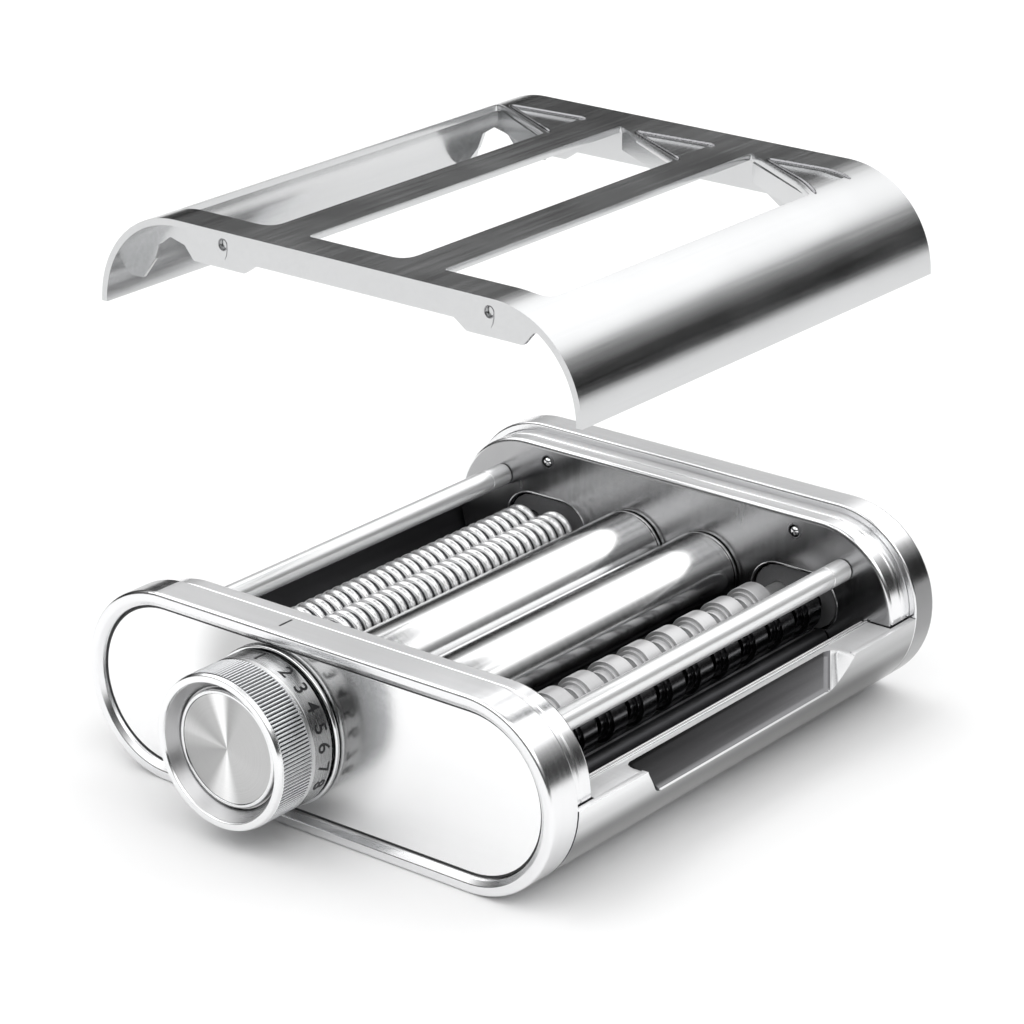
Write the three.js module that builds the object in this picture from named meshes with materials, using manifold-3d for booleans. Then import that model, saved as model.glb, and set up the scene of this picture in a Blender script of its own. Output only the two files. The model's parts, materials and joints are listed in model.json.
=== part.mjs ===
// Pasta roller machine: three pairs of rollers side by side in a flat steel body with a lift-off cover.
// Millimetres, +Z up. X runs across the rollers, Y runs along them from the knob to the drive shank.
// The origin is the centre of the object's footprint, on the surface that it stands on.

import * as THREE from 'three';
import { mergeVertices } from 'three/addons/utils/BufferGeometryUtils.js';
import Module from 'manifold-3d';

const wasm = await Module();
wasm.setup();

// ---------- driving dimensions ----------

const GAP = 0.3;                       // air left between pieces that rest on each other
const HALF_STRAIGHT = 57;              // half of the straight run of the stadium section
const R_BODY = 30;                     // end radius of the rings, lower shell and cover
const R_LEDGE = 27.5;                  // end radius of the ledge that the cover sits over
const SHEET = 2;                       // wall of the cover and the lower shell

const Y_RING_REAR = 11.6;              // rear edge of the front ring, whose front edge is Y = 0
const Y_FRONT_PLATE = 21.5;            // inner face of the front plate
const Y_REAR_PLATE = 171.5;            // inner face of the rear plate
const Y_CAP_FRONT = 181.4;             // front edge of the rear cap
const Y_CAP_BACK = 192;                // back face of the rear cap
const PLATE = 2.5;                     // thickness of the plates, rims and cap wall

const SMOOTH_X = 14.5;                 // smooth rollers' axes at rest, left and right of the middle
const SMOOTH_R = 13.4;
const SMOOTH_JOURNAL_R = 4;
const Y_SMOOTH_JOURNAL = 12.7;         // front end of the smooth rollers' journals
const BUSH_R = 7.8;                    // bushes of the fixed roller, in the plates
const GAP_TRAVEL = 1.9;                // how far the adjustable roller closes, from setting 1 to 8
const DIAL_TURN = THREE.MathUtils.degToRad(115.7);

const CUTTER_X = 48.5;                 // middle of each cutting pair
const CUTTER_HALF = 6.2;               // half of the distance between a pair's axes
const CUTTER_R = 7.2;
const CUTTER_ROOT_R = 4.9;
const CUTTER_JOURNAL_R = 3.2;
const Y_CUTTER_JOURNAL = 15.5;         // front end of the cutting rollers' journals
const SPAGHETTI_PITCH = 4.15;
const SPAGHETTI_RIDGES = 35;
const FETTUCCINE_PITCH = 14.15;
const FETTUCCINE_LAND = 6.5;
const FETTUCCINE_LANDS = 10;
const OPENING_R = 9.5;                 // end radius of the plates' openings for the cutting pairs

const UPPER_ROD = { x: 66.1, z: 13.7, r: 3.6 };
const LOWER_ROD = { x: 68.5, z: -13, r: 3.5 };
const SCRAPER_ROD = { dx: 10.4, z: -10.6, r: 3 };
const SMOOTH_SCRAPER = { x: 27, z: -17, r: 2.5 };
const BALL = { x: 48.1, z: 22, r: 1.75, out: 0.9, travel: 0.9 };

const Y_INNER_GEARS = 174.6;
const INNER_GEAR_WIDTH = 3.6;
const Y_OUTER_GEARS = 179.5;
const OUTER_GEAR_WIDTH = 4;

const KNOB_R = 23.6;
const Y_KNOB_FRONT = -22.5;
const Y_KNOB_REAR = -8.9;
const Y_DIAL_FRONT = -8.6;
const Y_DIAL_REAR = 0.1;
const Y_PANEL = 2.2;                   // front face of the panel, set into the ring
const R_PANEL_HOLE = 24.9;             // end radius of the ring's front opening
const BASE_RING_R = 24.6;
const SPINDLE_R = 3;
const CAM_R = 7;                       // cam radius at setting 1
const PIN_R = 1.2;                     // index pin
const PIN_ORBIT = 14;

const SHAFT_R = 5;
const SQUARE = 8;                      // square drive end, across flats
const Y_HUB_BACK = 214;
const Y_SHAFT_END = 228;
const HUB_FLANGE_R = 17;
const HUB_R = 11;
const HUB_BORE_R = 6.3;
const Y_FLANGE_BACK = 196.3;           // rear face of the hub's flange

const COVER_LIFT = 110;                // the cover is held this far above its seat
const SLOT_MIDDLE = 17.5;              // half width of the middle slot
const SLOT_INNER = 31;                 // inner and outer edges of the side slots
const SLOT_OUTER = 66;

const ARC = 12;                        // segments in a half-circle end
const ROUND = 20;                      // segments of a large round piece
const SMALL_ROUND = 12;                // segments of a small round piece

const ORIGIN_Y = (Y_KNOB_FRONT + Y_SHAFT_END) / 2;

// ---------- materials ----------

const metal = (color, roughness) => new THREE.MeshStandardMaterial({ color, roughness, metalness: 1 });
const POLISHED = metal(0xdfe0e2, 0.12);
const SATIN = metal(0xb9babd, 0.32);
const DARK_STEEL = metal(0x6f7073, 0.3);
const GEAR_STEEL = metal(0x8a8a86, 0.4);
const BRONZE = metal(0x9b7a4a, 0.4);
const BEARING_PLASTIC = new THREE.MeshStandardMaterial({ color: 0x4a4b4d, roughness: 0.6, metalness: 0 });

// ---------- shape helpers ----------

// Points of an arc in X and Z, its two ends included.
function arc(radius, from, to, steps, x = 0, z = 0) {
  return Array.from({ length: steps + 1 }, (_, i) => {
    const angle = from + ((to - from) * i) / steps;
    return new THREE.Vector2(x + radius * Math.cos(angle), z + radius * Math.sin(angle));
  });
}

// Closed outline of a stadium in X and Z, used for both shapes and holes.
function stadium(path, halfStraight, radius, x = 0, z = 0, steps = ARC) {
  return path.setFromPoints([
    ...arc(radius, -Math.PI / 2, Math.PI / 2, steps, x + halfStraight, z),
    ...arc(radius, Math.PI / 2, 3 * Math.PI / 2, steps, x - halfStraight, z),
  ]);
}

function circle(path, radius, x = 0, z = 0, sides = SMALL_ROUND) {
  return path.setFromPoints(arc(radius, 0, 2 * Math.PI, sides, x, z).slice(0, -1));
}

const bodyOutline = (radius) => stadium(new THREE.Shape(), HALF_STRAIGHT, radius);
const polygon = (points) => new THREE.Shape(points.map(([x, z]) => new THREE.Vector2(x, z)));

// Prism of an X-Z outline between two places along Y.
function prism(shape, from, to) {
  const geometry = new THREE.ExtrudeGeometry(shape, { depth: to - from, bevelEnabled: false });
  geometry.rotateX(Math.PI / 2);
  geometry.translate(0, to, 0);
  return geometry;
}

// Solid of revolution about a line along Y. The profile is [radius, y], rising in y on its outside.
function turned(profile, segments, x = 0, z = 0) {
  const points = profile.map(([radius, y]) => new THREE.Vector2(radius, y));
  const geometry = new THREE.LatheGeometry(points, segments);
  geometry.translate(x, 0, z);
  return geometry;
}

function rod(radius, from, to, segments, x, z) {
  return turned([[0, from], [radius, from], [radius, to], [0, to]], segments, x, z);
}

function sleeve(outer, inner, from, to, segments, x, z) {
  return turned([[outer, from], [outer, to], [inner, to], [inner, from], [outer, from]], segments, x, z);
}

function toSolid(geometry) {
  const bare = geometry.clone();
  bare.deleteAttribute('normal');
  bare.deleteAttribute('uv');
  const merged = mergeVertices(bare, 1e-4);
  return new wasm.Manifold(new wasm.Mesh({
    numProp: 3,
    vertProperties: merged.attributes.position.array,
    triVerts: new Uint32Array(merged.index.array),
  }));
}

function toGeometry(solid) {
  const mesh = solid.getMesh();
  const geometry = new THREE.BufferGeometry();
  geometry.setAttribute('position', new THREE.BufferAttribute(mesh.vertProperties, 3));
  geometry.setIndex(new THREE.BufferAttribute(mesh.triVerts, 1));
  geometry.computeVertexNormals();
  return geometry;
}

function carve(base, added, removed) {
  let solid = toSolid(base);
  for (const piece of added) solid = solid.add(toSolid(piece));
  for (const piece of removed) solid = solid.subtract(toSolid(piece));
  return toGeometry(solid);
}

const group = new THREE.Group();
group.position.set(0, -ORIGIN_Y, R_BODY);

const coverGroup = new THREE.Group();
coverGroup.position.z = COVER_LIFT;
group.add(coverGroup);

function add(name, geometry, material, parent = group) {
  const mesh = new THREE.Mesh(geometry, material);
  mesh.name = name;
  parent.add(mesh);
}

const SIDES = [['left', -1], ['right', 1]];
const ENDS = ['front', 'rear'];

// ---------- front and rear housings ----------

function frontRing() {
  const shape = bodyOutline(R_BODY);
  shape.holes.push(stadium(new THREE.Path(), HALF_STRAIGHT, R_PANEL_HOLE));
  return prism(shape, 0, Y_RING_REAR);
}

function frontPanel() {
  const shape = bodyOutline(R_PANEL_HOLE - 0.4);
  shape.holes.push(circle(new THREE.Path(), SPINDLE_R + 1.5, -SMOOTH_X));
  return prism(shape, Y_PANEL, Y_PANEL + SHEET);
}

// Fixed ring behind the dial, with the arc slot that stops the index pin at settings 1 and 8.
function knobBaseRing() {
  const shape = circle(new THREE.Shape(), BASE_RING_R, 0, 0, 30);
  shape.holes.push(circle(new THREE.Path(), SPINDLE_R + 1.5));
  const start = Math.PI / 2 - 0.16;
  const end = start + DIAL_TURN + 0.32;
  const slot = new THREE.Path().setFromPoints([
    ...arc(PIN_ORBIT + PIN_R + 0.5, start, end, 14),
    ...arc(PIN_ORBIT - PIN_R - 0.5, end, start, 14),
  ]);
  shape.holes.push(slot);
  const geometry = prism(shape, 0.4, Y_PANEL - GAP);
  geometry.translate(-SMOOTH_X, 0, 0);
  return geometry;
}

const CARRIAGE_BAR = { z: -17.5, r: 2.5 };

// Holes that both plates share: cutting pairs, smooth rollers, carriage bar and ball detents.
function plateShape() {
  const shape = bodyOutline(R_LEDGE);
  for (const [, side] of SIDES) {
    shape.holes.push(stadium(new THREE.Path(), CUTTER_HALF, OPENING_R, side * CUTTER_X, 0, 8));
    shape.holes.push(circle(new THREE.Path(), BALL.r + 0.3, side * BALL.x, BALL.z, 10));
  }
  const half = GAP_TRAVEL / 2;
  const barHole = [half - SMOOTH_X, CARRIAGE_BAR.z, 6];
  shape.holes.push(stadium(new THREE.Path(), half, SMOOTH_JOURNAL_R + 0.6, half - SMOOTH_X, 0, 6));
  shape.holes.push(stadium(new THREE.Path(), half, CARRIAGE_BAR.r + 0.4, ...barHole));
  shape.holes.push(circle(new THREE.Path(), BUSH_R + 0.4, SMOOTH_X, 0, ROUND));
  return shape;
}

function rimOf(from, to) {
  const shape = bodyOutline(R_LEDGE);
  shape.holes.push(stadium(new THREE.Path(), HALF_STRAIGHT, R_LEDGE - PLATE));
  return prism(shape, from, to);
}

function frontPlate() {
  const plate = prism(plateShape(), Y_FRONT_PLATE - PLATE, Y_FRONT_PLATE);
  return carve(rimOf(Y_RING_REAR + GAP, Y_FRONT_PLATE - PLATE / 2), [plate], []);
}

const SCREW = { x: 71, z: 8, r: 1.5, boss: 4, bore: 1.8, head: 3.1, from: 182, seat: 189.9, to: 191.6 };
const SCREW_PLACES = [[-1, -1], [-1, 1], [1, -1], [1, 1]].map(([sx, sz]) => [sx * SCREW.x, sz * SCREW.z]);

function rearPlate() {
  const plate = prism(plateShape(), Y_REAR_PLATE, Y_REAR_PLATE + PLATE);
  const rim = rimOf(Y_REAR_PLATE + PLATE / 2, Y_CAP_FRONT - GAP);
  const bosses = SCREW_PLACES.map(([x, z]) => rod(SCREW.boss, 173, 188, 8, x, z));
  const bores = SCREW_PLACES.map(([x, z]) => rod(SCREW.bore, 180, 190, 6, x, z));
  return carve(rim, [plate, ...bosses], bores);
}

function rearCap() {
  const back = bodyOutline(R_BODY);
  back.holes.push(circle(new THREE.Path(), HUB_BORE_R + 0.7, SMOOTH_X));
  for (const [x, z] of SCREW_PLACES) back.holes.push(circle(new THREE.Path(), SCREW.head + 0.3, x, z, 8));
  const wall = bodyOutline(R_BODY);
  wall.holes.push(stadium(new THREE.Path(), HALF_STRAIGHT, R_BODY - PLATE));
  const cap = prism(back, Y_CAP_BACK - PLATE, Y_CAP_BACK);
  return carve(prism(wall, Y_CAP_FRONT, Y_CAP_BACK - PLATE / 2), [cap], []);
}

function driveHub() {
  return turned([
    [HUB_FLANGE_R, Y_CAP_BACK + GAP],
    [HUB_FLANGE_R, Y_FLANGE_BACK],
    [HUB_R + 0.6, Y_FLANGE_BACK],
    [HUB_R, 198],
    [HUB_R, Y_HUB_BACK - 1.5],
    [HUB_R - 1, Y_HUB_BACK],
    [HUB_BORE_R, Y_HUB_BACK],
    [HUB_BORE_R, Y_CAP_BACK + GAP],
    [HUB_FLANGE_R, Y_CAP_BACK + GAP],
  ], ROUND, SMOOTH_X, 0);
}

function capScrew(x, z) {
  return turned([
    [0, SCREW.from],
    [SCREW.r, SCREW.from],
    [SCREW.r, SCREW.seat],
    [SCREW.head, SCREW.seat],
    [SCREW.head, SCREW.to],
    [0, SCREW.to],
  ], 8, x, z);
}

// ---------- lower shell ----------

const SCOOP_FROM = 43.5;               // front and rear ends of the finger scoop
const SCOOP_TO = 148.5;
const EXIT_FROM = 30;                  // front and rear ends of the exit slots
const EXIT_TO = 163;

// Half of the stadium tube below the middle plane, with a finger scoop on its right and exit slots below.
function lowerShell() {
  const wall = bodyOutline(R_BODY);
  wall.holes.push(stadium(new THREE.Path(), HALF_STRAIGHT, R_BODY - SHEET));
  const from = Y_RING_REAR + GAP;
  const to = Y_CAP_FRONT - GAP;
  const pocket = polygon([[75, -1], [86.5, -1], [86.5, -4], [82.6, -14.4]]);
  const scoop = polygon([[77, 1], [91, 1], [91, -10.2], [85.2, -10.2]]);
  const pockets = [prism(pocket, SCOOP_FROM - SHEET, SCOOP_TO + SHEET)];
  const upperHalf = polygon([[-100, -0.4], [100, -0.4], [100, 40], [-100, 40]]);
  const exits = [[-59, -37], [-12, 12], [37, 59]].map(([low, high]) => {
    const outline = polygon([[low, -40], [high, -40], [high, -22], [low, -22]]);
    return prism(outline, EXIT_FROM, EXIT_TO);
  });
  const cuts = [prism(scoop, SCOOP_FROM, SCOOP_TO), prism(upperHalf, from - 1, to + 1), ...exits];
  return carve(prism(wall, from, to), pockets, cuts);
}

// ---------- rods and scrapers between the plates ----------

const SPAN_FROM = Y_FRONT_PLATE + GAP;
const SPAN_TO = Y_REAR_PLATE - GAP;

// A rod with a blade that reaches up to its roller's underside.
function scraper(place, roller, rollerR) {
  const bar = rod(place.r, SPAN_FROM, SPAN_TO, SMALL_ROUND, place.x, place.z);
  const dx = roller.x - place.x;
  const dz = roller.z - place.z;
  const length = Math.hypot(dx, dz);
  const [ux, uz] = [dx / length, dz / length];
  const reach = length - rollerR - 0.6;
  const half = 0.6;
  const corners = [[0, -half], [0, half], [reach, half], [reach, -half]];
  const blade = polygon(corners.map(([u, v]) => [place.x + u * ux - v * uz, place.z + u * uz + v * ux]));
  return carve(bar, [prism(blade, SPAN_FROM + 2, SPAN_TO - 2)], []);
}

// Plate in a cutting pair's opening, with the two journal holes.
function bearingCarrier(x, from) {
  const shape = stadium(new THREE.Shape(), CUTTER_HALF, OPENING_R - 0.6, x, 0, 8);
  for (const [, side] of SIDES) {
    shape.holes.push(circle(new THREE.Path(), CUTTER_JOURNAL_R + 0.3, x + side * CUTTER_HALF));
  }
  return prism(shape, from, from + 2);
}

// ---------- rollers ----------

function smoothRoller(x, rearJournalEnd) {
  return turned([
    [0, Y_SMOOTH_JOURNAL],
    [SMOOTH_JOURNAL_R, Y_SMOOTH_JOURNAL],
    [SMOOTH_JOURNAL_R, Y_FRONT_PLATE + 0.5],
    [SMOOTH_R, Y_FRONT_PLATE + 0.5],
    [SMOOTH_R, Y_REAR_PLATE - 0.5],
    [SMOOTH_JOURNAL_R, Y_REAR_PLATE - 0.5],
    [SMOOTH_JOURNAL_R, rearJournalEnd],
    [0, rearJournalEnd],
  ], ROUND, x, 0);
}

// The cutting rollers' profile between its two journals is a list of [radius, y].
function cuttingRoller(x, ridges, rearJournalEnd, segments) {
  const first = ridges[0][1];
  const last = ridges[ridges.length - 1][1];
  return turned([
    [0, Y_CUTTER_JOURNAL],
    [CUTTER_JOURNAL_R, Y_CUTTER_JOURNAL],
    [CUTTER_JOURNAL_R, first],
    ...ridges,
    [CUTTER_JOURNAL_R, last],
    [CUTTER_JOURNAL_R, rearJournalEnd],
    [0, rearJournalEnd],
  ], segments, x, 0);
}

const MIDDLE_Y = (Y_FRONT_PLATE + Y_REAR_PLATE) / 2;

// Pointed ridges; the mating roller is shifted by half a pitch, so that each ridge runs in a groove.
function spaghettiRidges(shift) {
  const start = MIDDLE_Y - SPAGHETTI_PITCH * (SPAGHETTI_RIDGES / 2) + shift * SPAGHETTI_PITCH;
  const points = [[CUTTER_ROOT_R, start]];
  for (let i = 0; i < SPAGHETTI_RIDGES; i += 1) {
    points.push([CUTTER_R, start + SPAGHETTI_PITCH * (i + 0.5)]);
    points.push([CUTTER_ROOT_R, start + SPAGHETTI_PITCH * (i + 1)]);
  }
  return points;
}

function fettuccineLands(shift) {
  const start = MIDDLE_Y + FETTUCCINE_PITCH * (shift - FETTUCCINE_LANDS / 2);
  const points = [];
  for (let i = 0; i < FETTUCCINE_LANDS; i += 1) {
    const from = start + FETTUCCINE_PITCH * i + (FETTUCCINE_PITCH - FETTUCCINE_LAND) / 2;
    const to = from + FETTUCCINE_LAND;
    points.push([CUTTER_ROOT_R, from], [CUTTER_R, from], [CUTTER_R, to], [CUTTER_ROOT_R, to]);
  }
  return points;
}

// ---------- gears ----------

function gear(teeth, root, tip, bore, phase, place) {
  const pitch = (2 * Math.PI) / teeth;
  const corners = [[root, -0.3], [tip, -0.13], [tip, 0.13], [root, 0.3]];
  const points = [];
  for (let k = 0; k < teeth; k += 1) {
    for (const [radius, part] of corners) {
      const angle = (k + phase + part) * pitch;
      points.push([radius * Math.cos(angle), radius * Math.sin(angle)]);
    }
  }
  const shape = polygon(points);
  shape.holes.push(circle(new THREE.Path(), bore, 0, 0, SMALL_ROUND));
  const geometry = prism(shape, place.y, place.y + place.width);
  geometry.translate(place.x, 0, 0);
  return geometry;
}

const outerGear = (x) => ({ x, y: Y_OUTER_GEARS, width: OUTER_GEAR_WIDTH });
const innerGear = (x) => ({ x, y: Y_INNER_GEARS, width: INNER_GEAR_WIDTH });
const LARGE_TEETH = 12;
const PAIR_TEETH = 8;

// ---------- adjustable roller's carriage ----------

function bearingBlock(from, to) {
  const left = -SMOOTH_X - 8.5;
  const right = -SMOOTH_X + 12;
  const shape = polygon([[left, -21], [right, -21], [right, 9.5], [left, 9.5]]);
  shape.holes.push(circle(new THREE.Path(), SMOOTH_JOURNAL_R + 0.2, -SMOOTH_X, 0, ROUND));
  return prism(shape, from, to);
}

// Cam whose radius grows evenly with the angle, over the arc that the follower meets.
function thicknessCam() {
  const steps = 12;
  const margin = THREE.MathUtils.degToRad(20);
  const points = [];
  for (let i = 0; i <= steps; i += 1) {
    const angle = -margin + (i / steps) * (DIAL_TURN + 2 * margin);
    const part = THREE.MathUtils.clamp(angle / DIAL_TURN, 0, 1);
    const radius = CAM_R + GAP_TRAVEL * part;
    points.push([radius * Math.cos(-angle), radius * Math.sin(-angle)]);
  }
  points.push([-CAM_R * 0.7, CAM_R * 0.3], [0, CAM_R * 0.8]);
  points.reverse();
  const shape = polygon(points);
  shape.holes.push(circle(new THREE.Path(), SPINDLE_R + 0.15));
  const geometry = prism(shape, 6, 9);
  geometry.translate(-SMOOTH_X, 0, 0);
  return geometry;
}

// ---------- dial and knob, about the adjustable roller's axis ----------

function dialDrum() {
  const drum = turned([
    [KNOB_R - 0.8, Y_DIAL_FRONT],
    [KNOB_R, Y_DIAL_FRONT + 0.8],
    [KNOB_R, Y_DIAL_REAR],
    [20.5, Y_DIAL_REAR],
    [20.5, -6],
    [SPINDLE_R + 0.15, -6],
    [SPINDLE_R + 0.15, Y_DIAL_FRONT],
    [KNOB_R - 0.8, Y_DIAL_FRONT],
  ], 30, 0, 0);
  const clearance = rod(PIN_R + 0.3, -10, 0, 10, 0, PIN_ORBIT);
  const geometry = carve(drum, [], [clearance]);
  geometry.translate(-SMOOTH_X, 0, 0);
  return geometry;
}

function adjusterSpindle() {
  return turned([
    [0, -17],
    [5.5, -17],
    [5.5, -15.8],
    [SPINDLE_R, -15.8],
    [SPINDLE_R, 10.2],
    [0, 10.2],
  ], SMALL_ROUND, -SMOOTH_X, 0);
}

function knobGrip() {
  return turned([
    [KNOB_R, Y_KNOB_REAR],
    [KNOB_R, Y_KNOB_FRONT + 0.6],
    [KNOB_R - 0.6, Y_KNOB_FRONT],
    [20.6, Y_KNOB_FRONT],
    [18.4, -20],
    [18.4, -17.4],
    [16.5, -17.4],
    [16.5, -11],
    [SPINDLE_R + 0.3, -11],
    [SPINDLE_R + 0.3, Y_KNOB_REAR],
    [KNOB_R, Y_KNOB_REAR],
  ].reverse(), 30, -SMOOTH_X, 0);
}

function knobCap() {
  return turned([
    [0, -19],
    [16.6, -19],
    [18, -18.4],
    [18, -17.7],
    [0, -17.7],
  ], 24, -SMOOTH_X, 0);
}

function indexPin() {
  return rod(PIN_R, Y_KNOB_REAR + GAP, 1.7, 10, -SMOOTH_X, PIN_ORBIT);
}

class Helix extends THREE.Curve {
  constructor(radius, from, to, turns) {
    super();
    Object.assign(this, { radius, from, to, turns });
  }

  getPoint(t, target = new THREE.Vector3()) {
    const angle = 2 * Math.PI * this.turns * t;
    const y = this.from + (this.to - this.from) * t;
    return target.set(this.radius * Math.cos(angle), y, this.radius * Math.sin(angle));
  }
}

function knobSpring() {
  const turns = 3;
  const wire = circle(new THREE.Shape(), 0.35, 0, 0, 5);
  const geometry = new THREE.ExtrudeGeometry(wire, {
    steps: turns * 8,
    bevelEnabled: false,
    extrudePath: new Helix(4.4, -15.2, -11.6, turns),
  });
  geometry.translate(-SMOOTH_X, 0, 0);
  return geometry;
}

// ---------- ball detents ----------

function detentBall(side, end) {
  const geometry = new THREE.SphereGeometry(BALL.r, 10, 6);
  const inset = BALL.r - BALL.out;
  const y = end === 'front' ? Y_FRONT_PLATE - inset : Y_REAR_PLATE + inset;
  geometry.translate(side * BALL.x, y, BALL.z);
  return geometry;
}

// ---------- cover ----------

const FLANGE = 1.5;                    // thickness of the end flanges
const LEAD_DEPTH = 0.9;                // depth of the dimples and their lead-ins

// Right half of the end flange's lower edge, from the middle out to the skirt.
const FLANGE_EDGE = [
  [35.8, 18],
  [40.2, 15],
  [59.6, 15],
  [63, 19],
  [68.4, 20.4],
  [73, 17.5],
  [75, 12.5],
  [80, 6],
];

function flange(from, to) {
  const right = FLANGE_EDGE.map(([x, z]) => [x, z]);
  const left = FLANGE_EDGE.map(([x, z]) => [-x, z]).reverse();
  const edge = polygon([...left, ...right, [100, 6], [100, 40], [-100, 40], [-100, 6]]);
  const plate = toSolid(prism(bodyOutline(R_BODY - SHEET / 2), from, to));
  return toGeometry(plate.intersect(toSolid(prism(edge, from - 1, to + 1))));
}

// Opening with a slanted rear end, over one pair of rollers.
function coverSlot(low, high) {
  const shape = new THREE.Shape();
  const [front, rear, slant] = [23.6, 147, 168];
  shape.moveTo(low, front);
  shape.lineTo(high - 5, front);
  shape.quadraticCurveTo(high, front, high, front + 5);
  shape.lineTo(high, rear);
  shape.lineTo(low, slant);
  const geometry = new THREE.ExtrudeGeometry(shape, { depth: 20, bevelEnabled: false, curveSegments: 2 });
  geometry.translate(0, 0, 15);
  return geometry;
}

function coverShell() {
  const wall = bodyOutline(R_BODY);
  wall.holes.push(stadium(new THREE.Path(), HALF_STRAIGHT, R_BODY - SHEET));
  const from = Y_RING_REAR + GAP;
  const to = Y_CAP_FRONT - GAP;
  const lowerHalf = polygon([[-100, -40], [100, -40], [100, 0.2], [-100, 0.2]]);
  const slots = [[-SLOT_OUTER, -SLOT_INNER], [-SLOT_MIDDLE, SLOT_MIDDLE], [SLOT_INNER, SLOT_OUTER]];
  const dimples = [];
  for (const [, side] of SIDES) {
    // the lead-in below each dimple lets the flange pass the ball
    const lead = polygon([[-2.2, 10], [2.2, 10], [2.2, BALL.z + 2.2], [-2.2, BALL.z + 2.2]].map(
      ([x, z]) => [x + side * BALL.x, z],
    ));
    dimples.push(prism(lead, 20, SPAN_FROM + LEAD_DEPTH));
    dimples.push(prism(lead, SPAN_TO - LEAD_DEPTH, 173));
  }
  const flanges = [
    flange(SPAN_FROM, SPAN_FROM + FLANGE),
    flange(SPAN_TO - FLANGE, SPAN_TO),
  ];
  return carve(
    prism(wall, from, to),
    flanges,
    [prism(lowerHalf, from - 1, to + 1), ...slots.map(([low, high]) => coverSlot(low, high)), ...dimples],
  );
}

// ---------- assembly ----------

function addHousings() {
  add('front_ring', frontRing(), POLISHED);
  add('front_panel', frontPanel(), POLISHED);
  add('knob_base_ring', knobBaseRing(), POLISHED);
  add('front_plate', frontPlate(), DARK_STEEL);
  add('rear_plate', rearPlate(), DARK_STEEL);
  add('rear_cap', rearCap(), POLISHED);
  add('drive_hub', driveHub(), SATIN);
  add('lower_shell', lowerShell(), POLISHED);
  SCREW_PLACES.forEach(([x, z], i) => add(`cap_screw_${i + 1}`, capScrew(x, z), SATIN));
}

function addRods() {
  for (const [name, side] of SIDES) {
    const upper = rod(UPPER_ROD.r, SPAN_FROM, SPAN_TO, 16, side * UPPER_ROD.x, UPPER_ROD.z);
    const lower = rod(LOWER_ROD.r, SPAN_FROM, SPAN_TO, 16, side * LOWER_ROD.x, LOWER_ROD.z);
    add(`upper_tie_rod_${name}`, upper, POLISHED);
    add(`lower_tie_rod_${name}`, lower, POLISHED);
    const bar = { ...SMOOTH_SCRAPER, x: side * SMOOTH_SCRAPER.x };
    add(`smooth_scraper_${name}`, scraper(bar, { x: side * SMOOTH_X, z: 0 }, SMOOTH_R), DARK_STEEL);
  }
  for (const [cutter, side] of [['spaghetti', -1], ['fettuccine', 1]]) {
    for (const [place, out] of [['inner', -1], ['outer', 1]]) {
      const bar = { x: side * (CUTTER_X + out * SCRAPER_ROD.dx), z: SCRAPER_ROD.z, r: SCRAPER_ROD.r };
      const roller = { x: side * (CUTTER_X + out * CUTTER_HALF), z: 0 };
      add(`${cutter}_scraper_${place}`, scraper(bar, roller, CUTTER_R), DARK_STEEL);
    }
    add(`${cutter}_bearing_front`, bearingCarrier(side * CUTTER_X, Y_FRONT_PLATE - 3.5), BEARING_PLASTIC);
    add(`${cutter}_bearing_rear`, bearingCarrier(side * CUTTER_X, Y_REAR_PLATE + 1), BEARING_PLASTIC);
  }
  add('fixed_bush_front', sleeve(BUSH_R, SMOOTH_JOURNAL_R + 0.2, 17.5, 21.3, ROUND, SMOOTH_X, 0), BRONZE);
  add('fixed_bush_rear', sleeve(BUSH_R, SHAFT_R + 0.2, 171.7, 175.5, ROUND, SMOOTH_X, 0), BRONZE);
}

function driveShaft() {
  const round = rod(SHAFT_R, Y_REAR_PLATE - 0.2, 206, ROUND, SMOOTH_X, 0);
  const h = SQUARE / 2;
  const square = polygon([[-h, -h], [h, -h], [h, h], [-h, h]].map(([x, z]) => [x + SMOOTH_X, z]));
  return carve(round, [prism(square, 205, Y_SHAFT_END)], []);
}

function addFixedRollerTrain() {
  add('fixed_smooth_roller', fixedSmoothRoller(), POLISHED);
  add('drive_shaft', driveShaft(), SATIN);
  add('drive_gear', gear(LARGE_TEETH, 11.7, 15, SHAFT_R + 0.2, 0.5, outerGear(SMOOTH_X)), GEAR_STEEL);
}

// The drive shaft is pressed against the rear end of this roller, so it has no rear journal.
function fixedSmoothRoller() {
  return turned([
    [0, Y_SMOOTH_JOURNAL],
    [SMOOTH_JOURNAL_R, Y_SMOOTH_JOURNAL],
    [SMOOTH_JOURNAL_R, Y_FRONT_PLATE + 0.5],
    [SMOOTH_R, Y_FRONT_PLATE + 0.5],
    [SMOOTH_R, Y_REAR_PLATE - 0.5],
    [0, Y_REAR_PLATE - 0.5],
  ], ROUND, SMOOTH_X, 0);
}

function addCarriage() {
  add('adjustable_smooth_roller', smoothRoller(-SMOOTH_X, 183.6), POLISHED);
  const meshing = gear(LARGE_TEETH, 11.7, 15, SMOOTH_JOURNAL_R + 0.2, 0, outerGear(-SMOOTH_X));
  add('adjustable_roller_gear', meshing, GEAR_STEEL);
  add('front_bearing_block', bearingBlock(14.4, 18.6), SATIN);
  add('rear_bearing_block', bearingBlock(174.4, 178.4), SATIN);
  const bar = rod(CARRIAGE_BAR.r, 18.9, 174.1, SMALL_ROUND, -SMOOTH_X, CARRIAGE_BAR.z);
  add('carriage_bar', bar, SATIN);
  const followerX = -SMOOTH_X + CAM_R + 2.2;
  add('cam_follower_pin', rod(2, 6, 14.1, SMALL_ROUND, followerX, 0), SATIN);
}

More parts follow.
